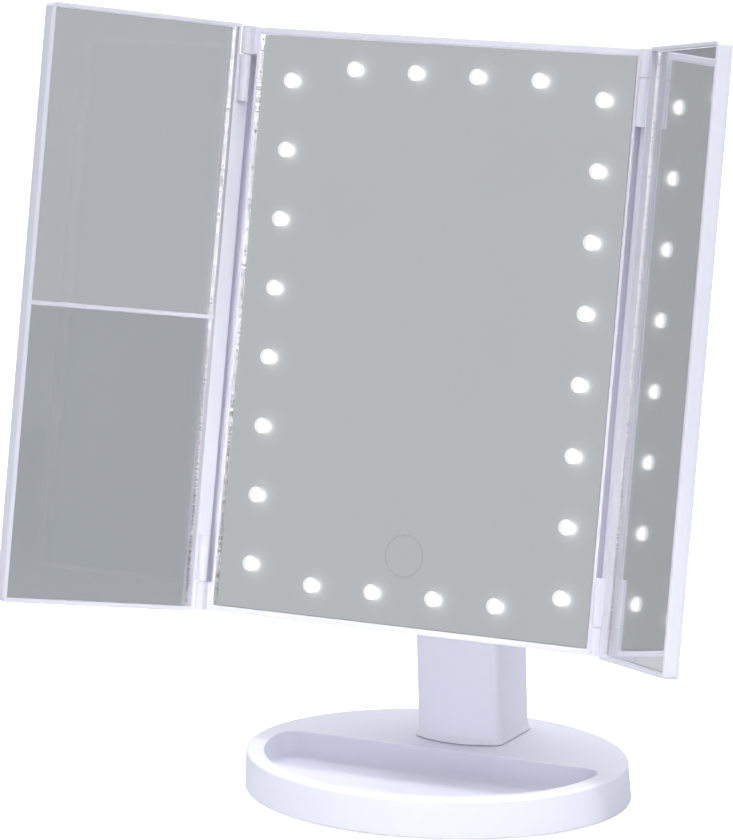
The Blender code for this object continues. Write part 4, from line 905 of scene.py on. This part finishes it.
# %% Paint the surroundings
world = bpy.data.worlds.new("studio")
bpy.context.scene.world = world
world.use_nodes = True
nodes, links = world.node_tree.nodes, world.node_tree.links
split = nodes.new("ShaderNodeSeparateXYZ")
links.new(nodes.new("ShaderNodeTexCoord").outputs["Generated"], split.inputs[0])
sideways = nodes.new("ShaderNodeMapRange")
sideways.inputs["From Min"].default_value = -0.9
sideways.inputs["From Max"].default_value = 0.6
links.new(split.outputs["X"], sideways.inputs["Value"])
room = tint(nodes, links, sideways.outputs["Result"], (0.565, 0.573, 0.595), (0.545, 0.553, 0.575))
seen = nodes.new("ShaderNodeLightPath").outputs["Is Camera Ray"]
white = nodes.new("ShaderNodeMix")
white.data_type = "RGBA"
white.inputs[7].default_value = (1, 1, 1, 1)
links.new(seen, white.inputs[0])
links.new(room, white.inputs[6])
links.new(white.outputs[2], nodes["Background"].inputs["Color"])
print("surroundings ready")

# %% [markdown]
# ## Soft light
# Three large soft lights shape the plastic: one from the right, one overhead and a weak one in
# front. The panel shades what is under it, so two hooded lights with narrow cones are aimed at the
# base and the post. None of them shows in a mirror.

# %% Hang the lights
def soft_light(name, at, size, power, aim=(0, 0, 0.15), kind="AREA"):
    """A round soft light that no mirror shows."""
    data = bpy.data.lights.new(name, kind)
    if kind == "AREA":
        data.shape = "DISK"
        data.size = size
    else:
        data.shadow_soft_size = size / 2
    data.energy = power
    lamp = bpy.data.objects.new(name, data)
    bpy.context.scene.collection.objects.link(lamp)
    lamp.location = at
    lamp.rotation_mode = "QUATERNION"
    lamp.rotation_quaternion = (Vector(aim) - Vector(at)).to_track_quat("-Z", "Y")
    lamp.visible_glossy = False
    lamp.visible_transmission = False
    return lamp


soft_light("key_right", (1.3, -0.9, 1.3), 1.0, 8.5)
soft_light("top", (-0.1, 0.2, 1.7), 1.2, 20.0)
soft_light("front", (0.4, -1.8, 0.25), 1.0, 1.2)
for name, at, aim, power, spread in (("base_light", (0.2, -0.5, 1.5), (0, -0.02, 0.01), 140.0, 8.0),
                                     ("post_light", (0.35, -1.6, 0.06), (0, 0, 0.057), 380.0, 3.2)):
    hooded = soft_light(name, at, 0.3, power, aim, "SPOT")
    hooded.data.spot_size = math.radians(spread)
    hooded.data.spot_blend = 0.8

# %% [markdown]
# The lamps light the wings' rims too. Their light leaves through the frosted discs in two bright
# columns, so two thin light strips stand just before the glass, and ride with the panel.

# %% Let the lamps light the wings
STRIP_WATTS = 0.018
STRIP_GAP = 0.3 * MM
for side, sign in SIGN.items():
    data = bpy.data.lights.new(f"lamp_column_{side}", "AREA")
    data.shape = "RECTANGLE"
    data.size = 2 * LAMP_R
    data.size_y = 2 * column_z
    data.energy = STRIP_WATTS
    strip = bpy.data.objects.new(data.name, data)
    bpy.context.scene.collection.objects.link(strip)
    outward = Matrix.Rotation(math.radians(-90), 4, "X")
    strip.matrix_world = PANEL @ Matrix.Translation((sign * column_x, front_y - STRIP_GAP, 0)) @ outward
    strip.visible_glossy = False
    strip.visible_camera = False
    strip.visible_transmission = False
    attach(strip, "panel")
bpy.context.scene.view_settings.view_transform = "Standard"

# %% [markdown]
# ## The camera
# The camera looks down a little from the right, from about two metres away, through a long lens. It
# is tipped a degree and a half, as a hand-held camera is.

# %% Place the camera
AZIMUTH = math.radians(29.43)
ELEVATION = math.radians(13.04)
ROLL = math.radians(-1.69)
DISTANCE = 2011.7 * MM
AIM_ACROSS = -23.62 * MM
AIM_UP = 140.37 * MM
LENS = 227.6
SHIFT_X = -0.0095
sin_a, cos_a, sin_e, cos_e = math.sin(AZIMUTH), math.cos(AZIMUTH), math.sin(ELEVATION), math.cos(ELEVATION)
sight = Vector((-sin_a * cos_e, cos_a * cos_e, -sin_e))
level = Vector((cos_a, sin_a, 0))
rise = Vector((-sin_a * sin_e, cos_a * sin_e, cos_e))
camera_x = math.cos(ROLL) * level + math.sin(ROLL) * rise
camera_y = -math.sin(ROLL) * level + math.cos(ROLL) * rise
data = bpy.data.cameras.new("camera")
data.lens = LENS
data.sensor_width = 36.0
data.shift_x = SHIFT_X
data.clip_start = 0.1
data.clip_end = 50.0
camera = bpy.data.objects.new("camera", data)
bpy.context.scene.collection.objects.link(camera)
turned = Matrix((camera_x, camera_y, -sight)).transposed().to_4x4()
stand = -sight * DISTANCE + camera_x * AIM_ACROSS + camera_y * AIM_UP
camera.matrix_world = Matrix.Translation(stand) @ turned
bpy.context.scene.camera = camera
print("camera at", [round(value, 3) for value in camera.location])

# %% [markdown]
# ## The end

# %% Finish
print("scene built")
